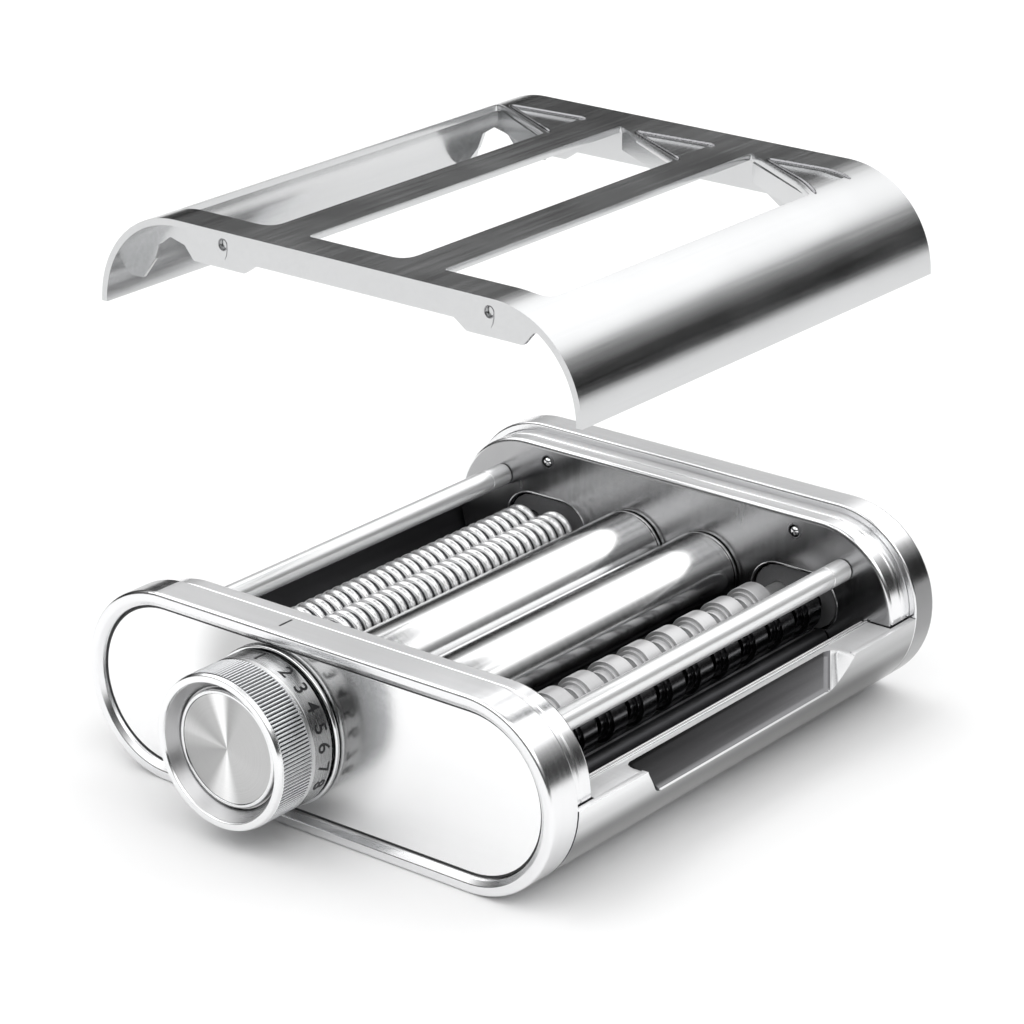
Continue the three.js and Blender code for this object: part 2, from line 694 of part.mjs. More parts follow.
function addCutters() {
  const journals = { inner: Y_INNER_GEARS + INNER_GEAR_WIDTH, outer: Y_OUTER_GEARS + OUTER_GEAR_WIDTH };
  const bore = CUTTER_JOURNAL_R + 0.2;
  const near = CUTTER_X - CUTTER_HALF;
  const far = CUTTER_X + CUTTER_HALF;
  add('spaghetti_roller_outer', cuttingRoller(-far, spaghettiRidges(-0.25), journals.inner, 8), POLISHED);
  add('spaghetti_roller_inner', cuttingRoller(-near, spaghettiRidges(0.25), journals.outer, 8), POLISHED);
  add('fettuccine_roller_inner', cuttingRoller(near, fettuccineLands(-0.25), journals.outer, 10), SATIN);
  add('fettuccine_roller_outer', cuttingRoller(far, fettuccineLands(0.25), journals.inner, 10), SATIN);
  add('spaghetti_gear_outer', gear(PAIR_TEETH, 5, 7, bore, 0, innerGear(-far)), GEAR_STEEL);
  add('spaghetti_gear_inner', gear(PAIR_TEETH, 5, 7, bore, 0.5, innerGear(-near)), GEAR_STEEL);
  add('fettuccine_gear_inner', gear(PAIR_TEETH, 5, 7, bore, 0, innerGear(near)), GEAR_STEEL);
  add('fettuccine_gear_outer', gear(PAIR_TEETH, 5, 7, bore, 0.5, innerGear(far)), GEAR_STEEL);
  add('spaghetti_drive_gear', gear(LARGE_TEETH, 12, 15.2, bore, 0.5, outerGear(-near)), GEAR_STEEL);
  add('fettuccine_drive_gear', gear(LARGE_TEETH, 11.4, 14.6, bore, 0, outerGear(near)), GEAR_STEEL);
}

function addKnob() {
  add('dial_drum', dialDrum(), SATIN);
  add('adjuster_spindle', adjusterSpindle(), SATIN);
  add('thickness_cam', thicknessCam(), GEAR_STEEL);
  add('knob_grip', knobGrip(), POLISHED);
  add('knob_cap', knobCap(), SATIN);
  add('index_pin', indexPin(), SATIN);
  add('knob_spring', knobSpring(), GEAR_STEEL);
}

addHousings();
addRods();
addFixedRollerTrain();
addCarriage();
addCutters();
addKnob();
for (const [name, side] of SIDES) {
  for (const end of ENDS) add(`detent_ball_${end}_${name}`, detentBall(side, end), SATIN);
}
add('cover', coverShell(), SATIN, coverGroup);

export default group;
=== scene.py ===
"""Looks of the pasta roller machine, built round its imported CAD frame.

Shapes are worked out in millimetres in the body's own axes: x = 0 in the middle, y = 0 at the front
ring's front edge, z = 0 on the rollers' axis plane. on_frame() puts them in the row frame.
"""

import json
from math import asin, copysign, cos, hypot, pi, radians, sin, sqrt, tan
from types import SimpleNamespace

import bmesh
import bpy
from mathutils import Matrix, Vector


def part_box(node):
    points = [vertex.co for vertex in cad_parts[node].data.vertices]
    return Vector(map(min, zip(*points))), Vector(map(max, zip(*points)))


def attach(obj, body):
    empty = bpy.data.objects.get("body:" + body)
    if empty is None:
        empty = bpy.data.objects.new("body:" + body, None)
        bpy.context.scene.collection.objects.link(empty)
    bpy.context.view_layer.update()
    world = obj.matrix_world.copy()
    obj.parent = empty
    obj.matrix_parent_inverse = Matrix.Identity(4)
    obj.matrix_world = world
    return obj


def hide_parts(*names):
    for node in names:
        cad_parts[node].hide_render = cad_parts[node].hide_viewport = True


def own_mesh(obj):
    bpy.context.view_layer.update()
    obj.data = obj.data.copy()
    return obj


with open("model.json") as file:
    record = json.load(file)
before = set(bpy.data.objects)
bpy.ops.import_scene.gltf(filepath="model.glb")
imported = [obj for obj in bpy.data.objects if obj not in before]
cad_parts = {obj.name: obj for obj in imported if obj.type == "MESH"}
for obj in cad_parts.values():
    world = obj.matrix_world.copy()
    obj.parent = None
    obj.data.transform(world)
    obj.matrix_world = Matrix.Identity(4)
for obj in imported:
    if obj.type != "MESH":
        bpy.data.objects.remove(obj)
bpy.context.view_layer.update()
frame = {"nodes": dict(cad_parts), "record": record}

# ---------- dimensions, from the frame ----------

MM = 0.001
BUMP_DEEP = 0.02 * MM
RING_LOW, RING_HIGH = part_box("front_ring")
AXIS_Z = (RING_LOW.z + RING_HIGH.z) / 2
R_BODY = (RING_HIGH.z - RING_LOW.z) / 2 / MM
HALF_STRAIGHT = (RING_HIGH.x - RING_LOW.x) / 2 / MM - R_BODY
BODY_FRAME = Matrix.Translation((0, RING_LOW.y, AXIS_Z)) @ Matrix.Scale(MM, 4)
TO_BODY = BODY_FRAME.inverted()
COVER_START = 0.2                     # height of the seated cover's lower edge over the axis plane
LIFT = (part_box("cover")[0].z - AXIS_Z) / MM - COVER_START
COVER_FRAME = BODY_FRAME @ Matrix.Translation((0, 0, LIFT))

END_STEPS = 40                        # segments of a stadium's half-circle end
WALL_STEPS = 28                       # segments of a quarter of the shell's or the cover's end
ROUND = 96                            # segments of a turned piece
FINE_ROUND = 160                      # segments of a turned piece that is seen close up
SMALL_ROUND = 48                      # segments of a ball, a screw or a hole
SHEET = 2                             # thickness of the sheet steel


def place_of(node):
    """Axis, radius and ends of a round CAD node whose axis lies along y, in body millimetres."""
    low, high = (TO_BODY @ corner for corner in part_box(node))
    centre = (low + high) / 2
    return SimpleNamespace(x=centre.x, z=centre.z, r=(high.z - low.z) / 2, y0=low.y, y1=high.y)


RING = place_of("front_ring")
SHELL = place_of("lower_shell")
FRONT_PLATE = place_of("front_plate")
REAR_PLATE = place_of("rear_plate")
CAP = place_of("rear_cap")
KNOB = place_of("knob_grip")
KNOB_X = KNOB.x
KNURLS = 130
Y_FRONT_FACE = FRONT_PLATE.y1
Y_REAR_FACE = REAR_PLATE.y0

# ---------- materials ----------


def nodes_of(material):
    material.use_nodes = True
    return material.node_tree, material.node_tree.nodes["Principled BSDF"]


def set_inputs(tree, node, inputs):
    """Gives each input its value, or links it to the output socket that feeds it."""
    for socket, value in inputs.items():
        if isinstance(value, bpy.types.NodeSocket):
            tree.links.new(value, node.inputs[socket])
        else:
            node.inputs[socket].default_value = value


def add_node(tree, kind, inputs, **settings):
    node = tree.nodes.new("ShaderNode" + kind)
    for name, value in settings.items():
        setattr(node, name, value)
    set_inputs(tree, node, inputs)
    return node


def map_range(tree, value, start, end, low=0.0, high=1.0):
    limits = {"From Min": start, "From Max": end, "To Min": low, "To Max": high}
    return add_node(tree, "MapRange", {"Value": value, **limits}).outputs["Result"]


def calculate(tree, operation, *values):
    return add_node(tree, "Math", dict(enumerate(values)), operation=operation).outputs[0]


def object_place(tree):
    return tree.nodes.new("ShaderNodeTexCoord").outputs["Object"]


def split_vector(tree, vector):
    return add_node(tree, "SeparateXYZ", {"Vector": vector}).outputs


def noise(tree, scale, detail=3.0, stretch=(1, 1, 1), seed=0.0):
    """Noise in object space; stretch makes its grain long along one axis."""
    inputs = {"Vector": object_place(tree), "Scale": stretch, "Location": (seed, seed, seed)}
    place = add_node(tree, "Mapping", inputs).outputs["Vector"]
    return add_node(tree, "TexNoise", {"Vector": place, "Scale": scale, "Detail": detail}).outputs["Fac"]


def remap(tree, value, low, high):
    """Spreads a noise, which stays between 0.3 and 0.7, from low to high."""
    return map_range(tree, value, 0.3, 0.7, low, high)


def tint(tree, value, dark, light):
    inputs = {"Factor": value, "A": (*dark, 1), "B": (*light, 1)}
    return add_node(tree, "Mix", inputs, data_type="RGBA").outputs["Result"]


def bump(tree, height, strength):
    inputs = {"Height": height, "Strength": strength, "Distance": BUMP_DEEP}
    return add_node(tree, "Bump", inputs).outputs["Normal"]


def steel(name, colour, rough, grain=(1, 1, 1), grain_scale=900.0, brushed=0.0, spread=0.05, metal=1.0):
    """Steel with fine lines along one axis, faint clouding from handling, and its own roughness."""
    material = bpy.data.materials.new(name)
    tree, shader = nodes_of(material)
    lines = noise(tree, grain_scale, 4.0, grain)
    clouds = noise(tree, 28.0, 3.0, (1, 1, 1), 3.7)
    light = tuple(min(1, c * (1 + spread)) for c in colour)
    dark = tuple(c * (1 - spread) for c in colour)
    shade = tint(tree, remap(tree, lines, 0.0, 1.0), dark, light)
    fine = remap(tree, lines, rough * 0.75, rough * 1.05)
    both = calculate(tree, "ADD", fine, remap(tree, clouds, 0.0, rough * 0.3))
    set_inputs(tree, shader, {"Base Color": shade, "Roughness": both, "Metallic": metal})
    if brushed:
        set_inputs(tree, shader, {"Normal": bump(tree, lines, brushed)})
    return material


def plastic(name, colour, rough):
    material = bpy.data.materials.new(name)
    tree, shader = nodes_of(material)
    grain = noise(tree, 2600.0, 2.0)
    dark = tuple(c * 0.85 for c in colour)
    set_inputs(tree, shader, {
        "Base Color": tint(tree, remap(tree, grain, 0.0, 1.0), dark, colour),
        "Roughness": remap(tree, grain, rough * 0.9, rough * 1.1),
        "Normal": bump(tree, grain, 0.3),
    })
    return material


def upwardness(tree):
    """How far the surface faces up, from -1 to 1."""
    return split_vector(tree, tree.nodes.new("ShaderNodeNewGeometry").outputs["Normal"])["Z"]


def rearwards(tree):
    """Position along the machine, in metres, towards the rear."""
    return split_vector(tree, object_place(tree))["Y"]


FLAT_UP = (0.86, 0.99)                 # upwardness where a surface starts to count as flat, and where it is


def satin_top(material, least):
    """Makes upward flats less metallic, so that they look pale instead of mirroring the room: painted light
    on the tops.
    """
    tree, shader = nodes_of(material)
    set_inputs(tree, shader, {"Metallic": map_range(tree, upwardness(tree), *FLAT_UP, 1.0, least)})
    return material


def ramp_of(tree, value, low, high, stops):
    """Grey levels along a value that runs from low to high."""
    ramp = add_node(tree, "ValToRGB", {"Fac": map_range(tree, value, low, high)})
    ramp.color_ramp.interpolation = "EASE"
    marks = ramp.color_ramp.elements
    while len(marks) < len(stops):
        marks.new(0.5)
    for mark, (at, level) in zip(marks, stops):
        mark.position = (at - low) / (high - low)
        mark.color = (level, level, level, 1)
    return ramp.outputs["Color"]


def shade_by(material, value_of, low, high, stops):
    """Multiplies the base colour by a ramp along a value."""
    tree, shader = nodes_of(material)
    base = shader.inputs["Base Color"].links[0].from_socket
    inputs = {"Factor": 1.0, "A": base, "B": ramp_of(tree, value_of(tree), low, high, stops)}
    mix = add_node(tree, "Mix", inputs, data_type="RGBA", blend_type="MULTIPLY")
    set_inputs(tree, shader, {"Base Color": mix.outputs["Result"]})
    return material


def knob_place(tree, right=0, up=0):
    """Position measured from the knob's axis, or from a line beside it."""
    axis = ((KNOB_X + right) * MM, 0, AXIS_Z + up * MM)
    shift = add_node(tree, "VectorMath", {0: object_place(tree), 1: axis}, operation="SUBTRACT")
    return split_vector(tree, shift.outputs["Vector"])


def knob_angle(tree):
    """Degrees round the knob's axis, from +x towards +z."""
    place = knob_place(tree)
    return calculate(tree, "DEGREES", calculate(tree, "ARCTAN2", place["Z"], place["X"]))


def knob_radius(tree, right=0, up=0):
    """Distance from the knob's axis, in metres."""
    place = knob_place(tree, right, up)
    flat = add_node(tree, "CombineXYZ", {"X": place["X"], "Z": place["Z"]}).outputs["Vector"]
    return add_node(tree, "VectorMath", {0: flat}, operation="LENGTH").outputs["Value"]


def knob_rings(tree):
    """Fine rings round the knob's axis."""
    inputs = {"W": knob_radius(tree), "Scale": 3200.0, "Detail": 2.0}
    return add_node(tree, "TexNoise", inputs, noise_dimensions="1D").outputs["Fac"]


# Angle from +x towards +z, and grey level: painted highlight fans round the spun face, then painted shade and
# reflection round the dial.
PAINTED_FANS = (
    (-180, 0.50), (-163, 0.40), (-124, 0.44), (-104, 0.85), (-92, 1.0), (-72, 0.56), (-30, 0.57), (0, 0.54),
    (60, 0.52), (84, 0.40), (96, 0.95), (104, 0.98), (118, 0.50), (148, 0.42), (172, 0.62), (180, 0.50),
)
DRUM_PAINTED_SHADE = (
    (-180, 0.5), (-60, 0.7), (-38, 0.95), (-18, 0.8), (2, 0.6), (18, 0.62), (34, 0.68),
    (52, 0.85), (66, 0.95), (82, 0.7), (100, 0.42), (130, 0.3), (180, 0.5),
)


def knurl_step(tree):
    """Runs from 0 to 1 across each ridge of the knob."""
    return calculate(tree, "FRACT", calculate(tree, "MULTIPLY", knob_angle(tree), KNURLS / 360))


def spun(name, rough):
    """Face turned on a lathe: fine rings, and painted highlights, fans of lighter colour by angle round the
    centre.
    """
    material = bpy.data.materials.new(name)
    tree, shader = nodes_of(material)
    shade = tint(tree, remap(tree, knob_rings(tree), 0.0, 1.0), (0.90, 0.90, 0.90), (1, 1, 1))
    sheen = remap(tree, knob_rings(tree), rough * 0.9, rough * 1.1)
    set_inputs(tree, shader, {"Base Color": shade, "Roughness": sheen, "Metallic": 1.0})
    return shade_by(material, knob_angle, -180, 180, PAINTED_FANS)


ALONG_Y = (1, 0.02, 1)
AROUND_Y = (0.03, 1, 0.03)
ALONG_X = (0.02, 1, 1)
ALONG_Z = (1, 1, 0.02)
POLISHED = steel("polished_steel", (0.84, 0.845, 0.85), 0.1, ALONG_Y, 700.0, 0.0, 0.03)
# Darker copy of the polished steel for the scoop's rear end: painted shade that tones down its reflection.
SCOOP_END_PAINTED_SHADE_STEEL = steel("scoop_end_painted_shade", (0.56, 0.562, 0.566), 0.2, ALONG_X, 700.0, 0.0, 0.03)
RING_LOOK = ((0.86, 0.862, 0.87), 0.19, AROUND_Y, 900.0, 0.03, 0.02)
# Ring steel whose upward flats are made pale: painted top light.
RING_STEEL_PAINTED_TOP_LIGHT = satin_top(steel("ring_steel_painted_top_light", *RING_LOOK), 0.42)
ROD_STEEL = steel("rod_steel", (0.86, 0.865, 0.87), 0.22, ALONG_Y, 900.0, 0.0, 0.03, 0.5)
# Front panel steel, darker near the knob and up to its right: painted reflection of the knob.
MIRROR_PAINTED_REFLECTION = shade_by(
    steel("mirror_panel_painted_reflection", (0.95, 0.952, 0.955), 0.17, ALONG_X, 600.0, 0.0, 0.01),
    lambda tree: knob_radius(tree, 6, 10), 0, 0.06, ((0, 0.5), (0.024, 0.55), (0.042, 1), (0.06, 1)),
)
COVER_STEEL = steel("cover_steel", (0.60, 0.605, 0.61), 0.2, ALONG_Y, 900.0, 0.05, 0.03)
SATIN = steel("satin_steel", (0.62, 0.62, 0.625), 0.27, ALONG_Y, 1200.0, 0.1)
TURNED = steel("turned_steel", (0.62, 0.625, 0.63), 0.22, AROUND_Y, 2600.0, 0.08, 0.03)
# Dial drum steel, darker and lighter by angle round the knob: painted shade and reflection.
DRUM_PAINTED_SHADE_STEEL = shade_by(
    steel("drum_steel_painted_shade", (0.74, 0.745, 0.75), 0.24, AROUND_Y, 2600.0, 0.05, 0.02),
    knob_angle, -180, 180, DRUM_PAINTED_SHADE,
)
GROOVE_STEEL = steel("groove_steel", (0.50, 0.50, 0.505), 0.3, AROUND_Y, 2600.0, 0.08, 0.03)
RIM_STEEL = steel("rim_steel", (0.88, 0.885, 0.89), 0.16, AROUND_Y, 500.0, 0.0, 0.01)
# Knurl steel, dark in each valley between the ridges: painted shade.
KNURL_PAINTED_SHADE_STEEL = shade_by(
    steel("knurl_steel_painted_shade", (0.86, 0.87, 0.885), 0.2, ALONG_Y, 500.0, 0.0, 0.01), knurl_step, 0, 1,
    ((0, 0.12), (0.22, 0.7), (0.5, 1), (0.78, 0.7), (1, 0.12)),
)
HOSE_STEEL = steel("spaghetti_steel", (0.84, 0.842, 0.846), 0.24, AROUND_Y, 900.0, 0.0, 0.02, 0.75)
LAND_STEEL = steel("land_steel", (0.60, 0.60, 0.605), 0.36, AROUND_Y, 1800.0, 0.1, 0.03, 0.8)
# Near-black steel for the outer fettuccine roller: painted shade on a roller that lies in shadow.
FETTUCCINE_PAINTED_SHADE_STEEL = steel("fettuccine_outer_painted_shade", (0.13, 0.13, 0.135), 0.2, AROUND_Y, 1200.0)
PLATE_STEEL = steel("plate_steel", (0.42, 0.42, 0.425), 0.22, ALONG_Z, 500.0, 0.0, 0.015)
DARK_STEEL = steel("dark_steel", (0.30, 0.30, 0.31), 0.24, ALONG_Y, 900.0, 0.03)
MATT_STEEL = steel("matt_steel", (0.10, 0.10, 0.105), 0.46, ALONG_Y, 900.0, 0.03)
INNER_STEEL = steel("inner_steel", (0.13, 0.13, 0.135), 0.4, ALONG_Y, 900.0, 0.03)
# Smooth roller steel, dark where it faces down: painted shade.
ROLLER_PAINTED_SHADE_STEEL = shade_by(
    steel("roller_steel_painted_shade", (0.80, 0.802, 0.806), 0.15, AROUND_Y, 900.0, 0.02, 0.02), upwardness, -1, 1,
    ((-1, 0.2), (-0.05, 0.2), (0.3, 0.5), (0.5, 1), (1, 1)),
)
SCOOP_STEEL = steel("scoop_steel", (0.17, 0.17, 0.175), 0.16, ALONG_Y, 700.0)
GEAR_STEEL = steel("gear_steel", (0.42, 0.41, 0.39), 0.34, (1, 0.05, 1), 1500.0, 0.2, 0.12)
BRONZE = steel("bronze", (0.55, 0.40, 0.22), 0.33, (1, 1, 1), 1800.0, 0.15, 0.12)
BEARING = plastic("bearing_plastic", (0.17, 0.17, 0.175), 0.4)
INK = plastic("ink", (0.012, 0.012, 0.014), 0.4)
# Knob face with painted highlight fans.
FACE = spun("spun_face_painted_highlights", 0.2)
# Shell steel with a dark band where it faces partly down, darker where it faces up, and darker towards the
# rear: painted shade and reflection.
SHELL_PAINTED_SHADE_STEEL = shade_by(
    steel("shell_steel_painted_shade", (0.88, 0.885, 0.89), 0.13, ALONG_Y, 700.0, 0.0, 0.02), upwardness, -1, 1,
    ((-1, 0.9), (-0.86, 0.9), (-0.68, 0.44), (-0.42, 0.28), (-0.2, 0.8), (-0.04, 1), (1, 0.6)),
)
shade_by(SHELL_PAINTED_SHADE_STEEL, rearwards, -0.1, 0.1, ((-0.1, 1), (-0.05, 1), (0.06, 0.62), (0.1, 0.6)))
# Rear cap steel with pale upward flats and darker sides: painted light and shade.
CAP_PAINTED_LIGHT_SHADE_STEEL = satin_top(steel("cap_steel_painted_light_shade", *RING_LOOK), 0.42)
shade_by(
    CAP_PAINTED_LIGHT_SHADE_STEEL, upwardness, -1, 1,
    ((-1, 1), (-0.85, 0.8), (-0.62, 0.3), (-0.35, 0.4), (-0.1, 0.32), (0.25, 0.28), (0.5, 0.5), (0.75, 1)),
)
# Front ring steel for its left side, darker where it faces partly up: painted shade and reflection.
RING_LEFT_PAINTED_SHADE_STEEL = shade_by(
    steel("ring_left_painted_shade", *RING_LOOK), upwardness, -1, 1,
    ((-1, 1), (0.4, 0.5), (0.84, 0.28), (0.93, 0.32), (0.985, 0.9), (1, 1)),
)

# ---------- meshes ----------


def new_object(name, data):
    obj = bpy.data.objects.new(name, data)
    bpy.context.scene.collection.objects.link(obj)
    return obj


def on_frame(name, points, faces, material, matrix=None):
    """New mesh object from body millimetres, in the row frame."""
    mesh = bpy.data.meshes.new(name)
    mesh.from_pydata([tuple(p) for p in points], [], faces)
    mesh.transform(matrix or BODY_FRAME)
    mesh.validate()
    mesh.materials.append(material)
    face_outward(mesh)
    return new_object(name, mesh)


def face_outward(mesh):
    work = bmesh.new()
    work.from_mesh(mesh)
    bmesh.ops.remove_doubles(work, verts=work.verts, dist=1e-7)
    bmesh.ops.recalc_face_normals(work, faces=work.faces)
    work.to_mesh(mesh)
    work.free()


def smooth(obj, angle=32):
    """Smooth shading that keeps corners crisp and wide faces flat."""
    obj.data.polygons.foreach_set("use_smooth", [True] * len(obj.data.polygons))
    obj.data.set_sharp_from_angle(angle=radians(angle))
    weighted = obj.modifiers.new("flat_faces", "WEIGHTED_NORMAL")
    weighted.keep_sharp = True
    weighted.weight = 80
    return obj


def rounded(points, radius, steps=4, closed=False):
    """The outline with each of its corners turned into an arc. A point's third value is its own radius."""
    result = []
    count = len(points)
    for i, point in enumerate(points):
        here = Vector(point[:2])
        own = point[2] if len(point) > 2 else radius
        if not closed and i in (0, count - 1) or own == 0:
            result.append(tuple(here))
            continue
        before = Vector(points[i - 1][:2]) - here
        after = Vector(points[(i + 1) % count][:2]) - here
        turn = before.angle(after)
        if turn > radians(172) or turn < radians(4):
            result.append(tuple(here))
            continue
        reach = min(own / tan(turn / 2), before.length * 0.45, after.length * 0.45)
        start = here + before.normalized() * reach
        end = here + after.normalized() * reach
        for k in range(steps + 1):
            t = k / steps
            result.append(tuple(start * (1 - t) ** 2 + here * 2 * t * (1 - t) + end * t**2))
    return result


def strips(columns, rows, wrap_columns, wrap_rows):
    """Quads of a grid that is numbered column by column."""
    faces = []
    for c in range(columns if wrap_columns else columns - 1):
        for r in range(rows if wrap_rows else rows - 1):
            c2, r2 = (c + 1) % columns, (r + 1) % rows
            faces.append((c * rows + r, c2 * rows + r, c2 * rows + r2, c * rows + r2))
    return faces


def box_corners(x, z, across, up):
    """Corners of a rectangle round (x, z), across and up from it."""
    return [(x - across, z - up), (x + across, z - up), (x + across, z + up), (x - across, z + up)]


def turned(name, profile, x, z, material, segments=ROUND, wave=None, matrix=None):
    """Solid of revolution about a line along y. wave(angle, radius, y) may change a point's radius."""
    closed = profile[0][0] > 1e-6
    points = []
    for i in range(segments):
        angle = 2 * pi * i / segments
        for radius, y in profile:
            r = wave(angle, radius, y) if wave else radius
            points.append((x + r * cos(angle), y, z + r * sin(angle)))
    faces = strips(segments, len(profile), True, closed)
    return smooth(on_frame(name, points, faces, material, matrix))


def circle(steps):
    """Directions round a full circle."""
    for i in range(steps):
        angle = 2 * pi * i / steps
        yield cos(angle), sin(angle)


def round_ends(half, steps):
    """Centre and direction of each point round a stadium, from below on the right, round to the left."""
    for side, first in ((1, -90), (-1, 90)):
        for i in range(steps + 1):
            angle = radians(first + 180 * i / steps)
            yield side * half, cos(angle), sin(angle)


def stadium_solid(name, profile, material, capped=False):
    """Sweeps a [radius, y] profile round the body's stadium. Capped solids get flat faces at both ends."""
    columns = list(round_ends(HALF_STRAIGHT, END_STEPS))
    points = [(cx + r * dx, y, r * dz) for cx, dx, dz in columns for r, y in profile]
    rows = len(profile)
    faces = strips(len(columns), rows, True, not capped)
    if capped:
        faces.append([c * rows for c in range(len(columns))])
        faces.append([c * rows + rows - 1 for c in range(len(columns))])
    return on_frame(name, points, faces, material)


def prism(name, outline, low, high, axis="Y", material=None, matrix=None):
    """Prism of a 2-D outline: along Y the outline is [x, z], along Z it is [x, y]."""
    count = len(outline)
    points = [(a, t, b) if axis == "Y" else (a, b, t) for t in (low, high) for a, b in outline]
    faces = [tuple(range(count)), tuple(range(2 * count - 1, count - 1, -1))]
    for i in range(count):
        j = (i + 1) % count
        faces.append((i, j, count + j, count + i))
    return on_frame(name, points, faces, material or POLISHED, matrix)


def hull(name, points, matrix=None, round_off=0.0):
    """Convex solid round the points, with its edges rounded off."""
    work = bmesh.new()
    for point in points:
        work.verts.new(point)
    made = bmesh.ops.convex_hull(work, input=work.verts)
    loose = [v for v in made["geom_interior"] if isinstance(v, bmesh.types.BMVert)]
    bmesh.ops.delete(work, geom=loose, context="VERTS")
    bmesh.ops.dissolve_limit(work, angle_limit=0.02, verts=work.verts, edges=work.edges)
    if round_off:
        bmesh.ops.bevel(work, geom=work.edges[:], offset=round_off, segments=6, profile=0.5, affect="EDGES")
    mesh = bpy.data.meshes.new(name)
    work.to_mesh(mesh)
    work.free()
    mesh.transform(matrix or BODY_FRAME)
    mesh.materials.append(POLISHED)
    face_outward(mesh)
    return new_object(name, mesh)


def combine(obj, others, operation):
    """Boolean with each of the others, which are used up."""
    for other in others:
        step = obj.modifiers.new("step", "BOOLEAN")
        step.operation = operation
        step.object = other
        step.solver = "EXACT"
    settle(obj)
    for other in others:
        bpy.data.objects.remove(other)


def settle(obj):
    """Applies the object's modifiers to its mesh."""
    graph = bpy.context.evaluated_depsgraph_get()
    mesh = bpy.data.meshes.new_from_object(obj.evaluated_get(graph))
    old = obj.data
    obj.modifiers.clear()
    obj.data = mesh
    bpy.data.meshes.remove(old)


def soften(obj, width, segments=2, angle=35):
    """Rounds the object's sharp edges by width millimetres."""
    step = obj.modifiers.new("soften", "BEVEL")
    step.width = width * MM
    step.segments = segments
    step.limit_method = "ANGLE"
    step.angle_limit = radians(angle)
    step.use_clamp_overlap = True
    settle(obj)


def true_normals(obj, matrix):
    """Exact normals on the stadium's wall and flat ends, so that its reflections run clean over cut faces."""
    mesh = obj.data
    mesh.polygons.foreach_set("use_smooth", [True] * len(mesh.polygons))
    mesh.set_sharp_from_angle(angle=radians(32))
    back = matrix.inverted()
    corners = [Vector(c.vector) for c in mesh.corner_normals]
    limit = cos(radians(9))
    for face in mesh.polygons:
        if abs(face.normal.y) > 0.999:
            for i in face.loop_indices:
                corners[i] = Vector((0, copysign(1, face.normal.y), 0))
            continue
        middle = stadium_normal(back @ face.center)
        side = face.normal.dot(middle)
        if abs(side) < limit:
            continue
        for i in face.loop_indices:
            point = back @ mesh.vertices[mesh.loops[i].vertex_index].co
            corners[i] = stadium_normal(point) * copysign(1, side)
    mesh.normals_split_custom_set(corners)


def stadium_normal(point):
    over = max(0.0, abs(point.x) - HALF_STRAIGHT)
    return Vector((copysign(over, point.x), 0, point.z)).normalized()


def from_axis(point):
    """Distance from the stadium's middle line."""
    return hypot(max(0.0, abs(point.x) - HALF_STRAIGHT), point.z)


def finish(obj, material, test):
    """Gives the material to the faces whose normal and centre, in body millimetres, pass the test."""
    obj.data.materials.append(material)
    for face in obj.data.polygons:
        if test(face.normal, TO_BODY @ face.center):
            face.material_index = len(obj.data.materials) - 1


def piece(obj, body, slot, *replaced):
    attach(obj, body)
    if replaced:
        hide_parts(*replaced)


SIDES = (("left", -1), ("right", 1))
PLATE_FACES = (("front", Y_FRONT_FACE, -1), ("rear", Y_REAR_FACE, 1))

# ---------- front housing ----------

PANEL_HOLE_R = 24.9
Y_PANEL = place_of("front_panel").y0
BEAD_R = 27.0                          # where the front face starts to slope in towards the panel


def front_ring():
    """Rounded ring whose face slopes in to the panel."""
    rear = RING.y1
    profile = rounded([
        (R_BODY, rear, 0.5), (R_BODY, 0, 1.3), (BEAD_R, 0, 0.9),
        (PANEL_HOLE_R + 0.5, 1.2, 0.6), (PANEL_HOLE_R, 2.6, 0.4), (PANEL_HOLE_R, rear, 0.2),
    ], 0.4, 5, closed=True)
    ring = smooth(stadium_solid("ring_front", profile, RING_STEEL_PAINTED_TOP_LIGHT))
    # The ring's outer left side gets painted shade.
    finish(ring, RING_LEFT_PAINTED_SHADE_STEEL, lambda normal, at: normal.x < -0.1 and from_axis(at) > R_BODY - 0.4)
    piece(ring, "housing", "polished_steel", "front_ring")


def front_panel():
    rear = Y_PANEL + SHEET
    edge = PANEL_HOLE_R - 0.4
    profile = rounded([(edge - 3, Y_PANEL), (edge, Y_PANEL, 0.35), (edge, rear, 0.3), (edge - 3, rear)], 0.3)
    panel = smooth(stadium_solid("panel_front", profile, MIRROR_PAINTED_REFLECTION, capped=True))
    piece(panel, "housing", "polished_steel", "front_panel")


def panel_seam():
    """Black ring in the gap round the panel: painted shadow in the gap."""
    low, high = PANEL_HOLE_R - 0.5, PANEL_HOLE_R + 0.02
    front, rear = Y_PANEL - 0.12, Y_PANEL + 0.1
    profile = rounded([(low, rear), (low, front), (high, front), (high, rear)], 0.08, 3, closed=True)
    gap_shadow_ring = smooth(stadium_solid("panel_seam", profile, INK))
    piece(gap_shadow_ring, "housing", "bearing_plastic")


def pointer_mark():
    """Line on top of the front ring, which the dial's numbers are read against."""
    outline = rounded(box_corners(place_of("dial_drum").x, 7.2, 0.36, 2.8), 0.3, 4, closed=True)
    mark = prism("pointer_mark", outline, R_BODY - 0.2, R_BODY + 0.03, "Z", INK)
    piece(smooth(mark), "housing", "polished_steel")


# ---------- plates and rear housing ----------

LEDGE_R = FRONT_PLATE.r
RIM = 2.5
CUTTERS = {"spaghetti": -1, "fettuccine": 1}
CUTTER_X = abs(place_of("spaghetti_bearing_front").x)
OPENING_HALF = 6.2
OPENING_R = 9.5
BALL = place_of("detent_ball_rear_right")
BALL_X = abs(BALL.x)
COLLAR_IN, COLLAR_OUT = 2.0, 2.6


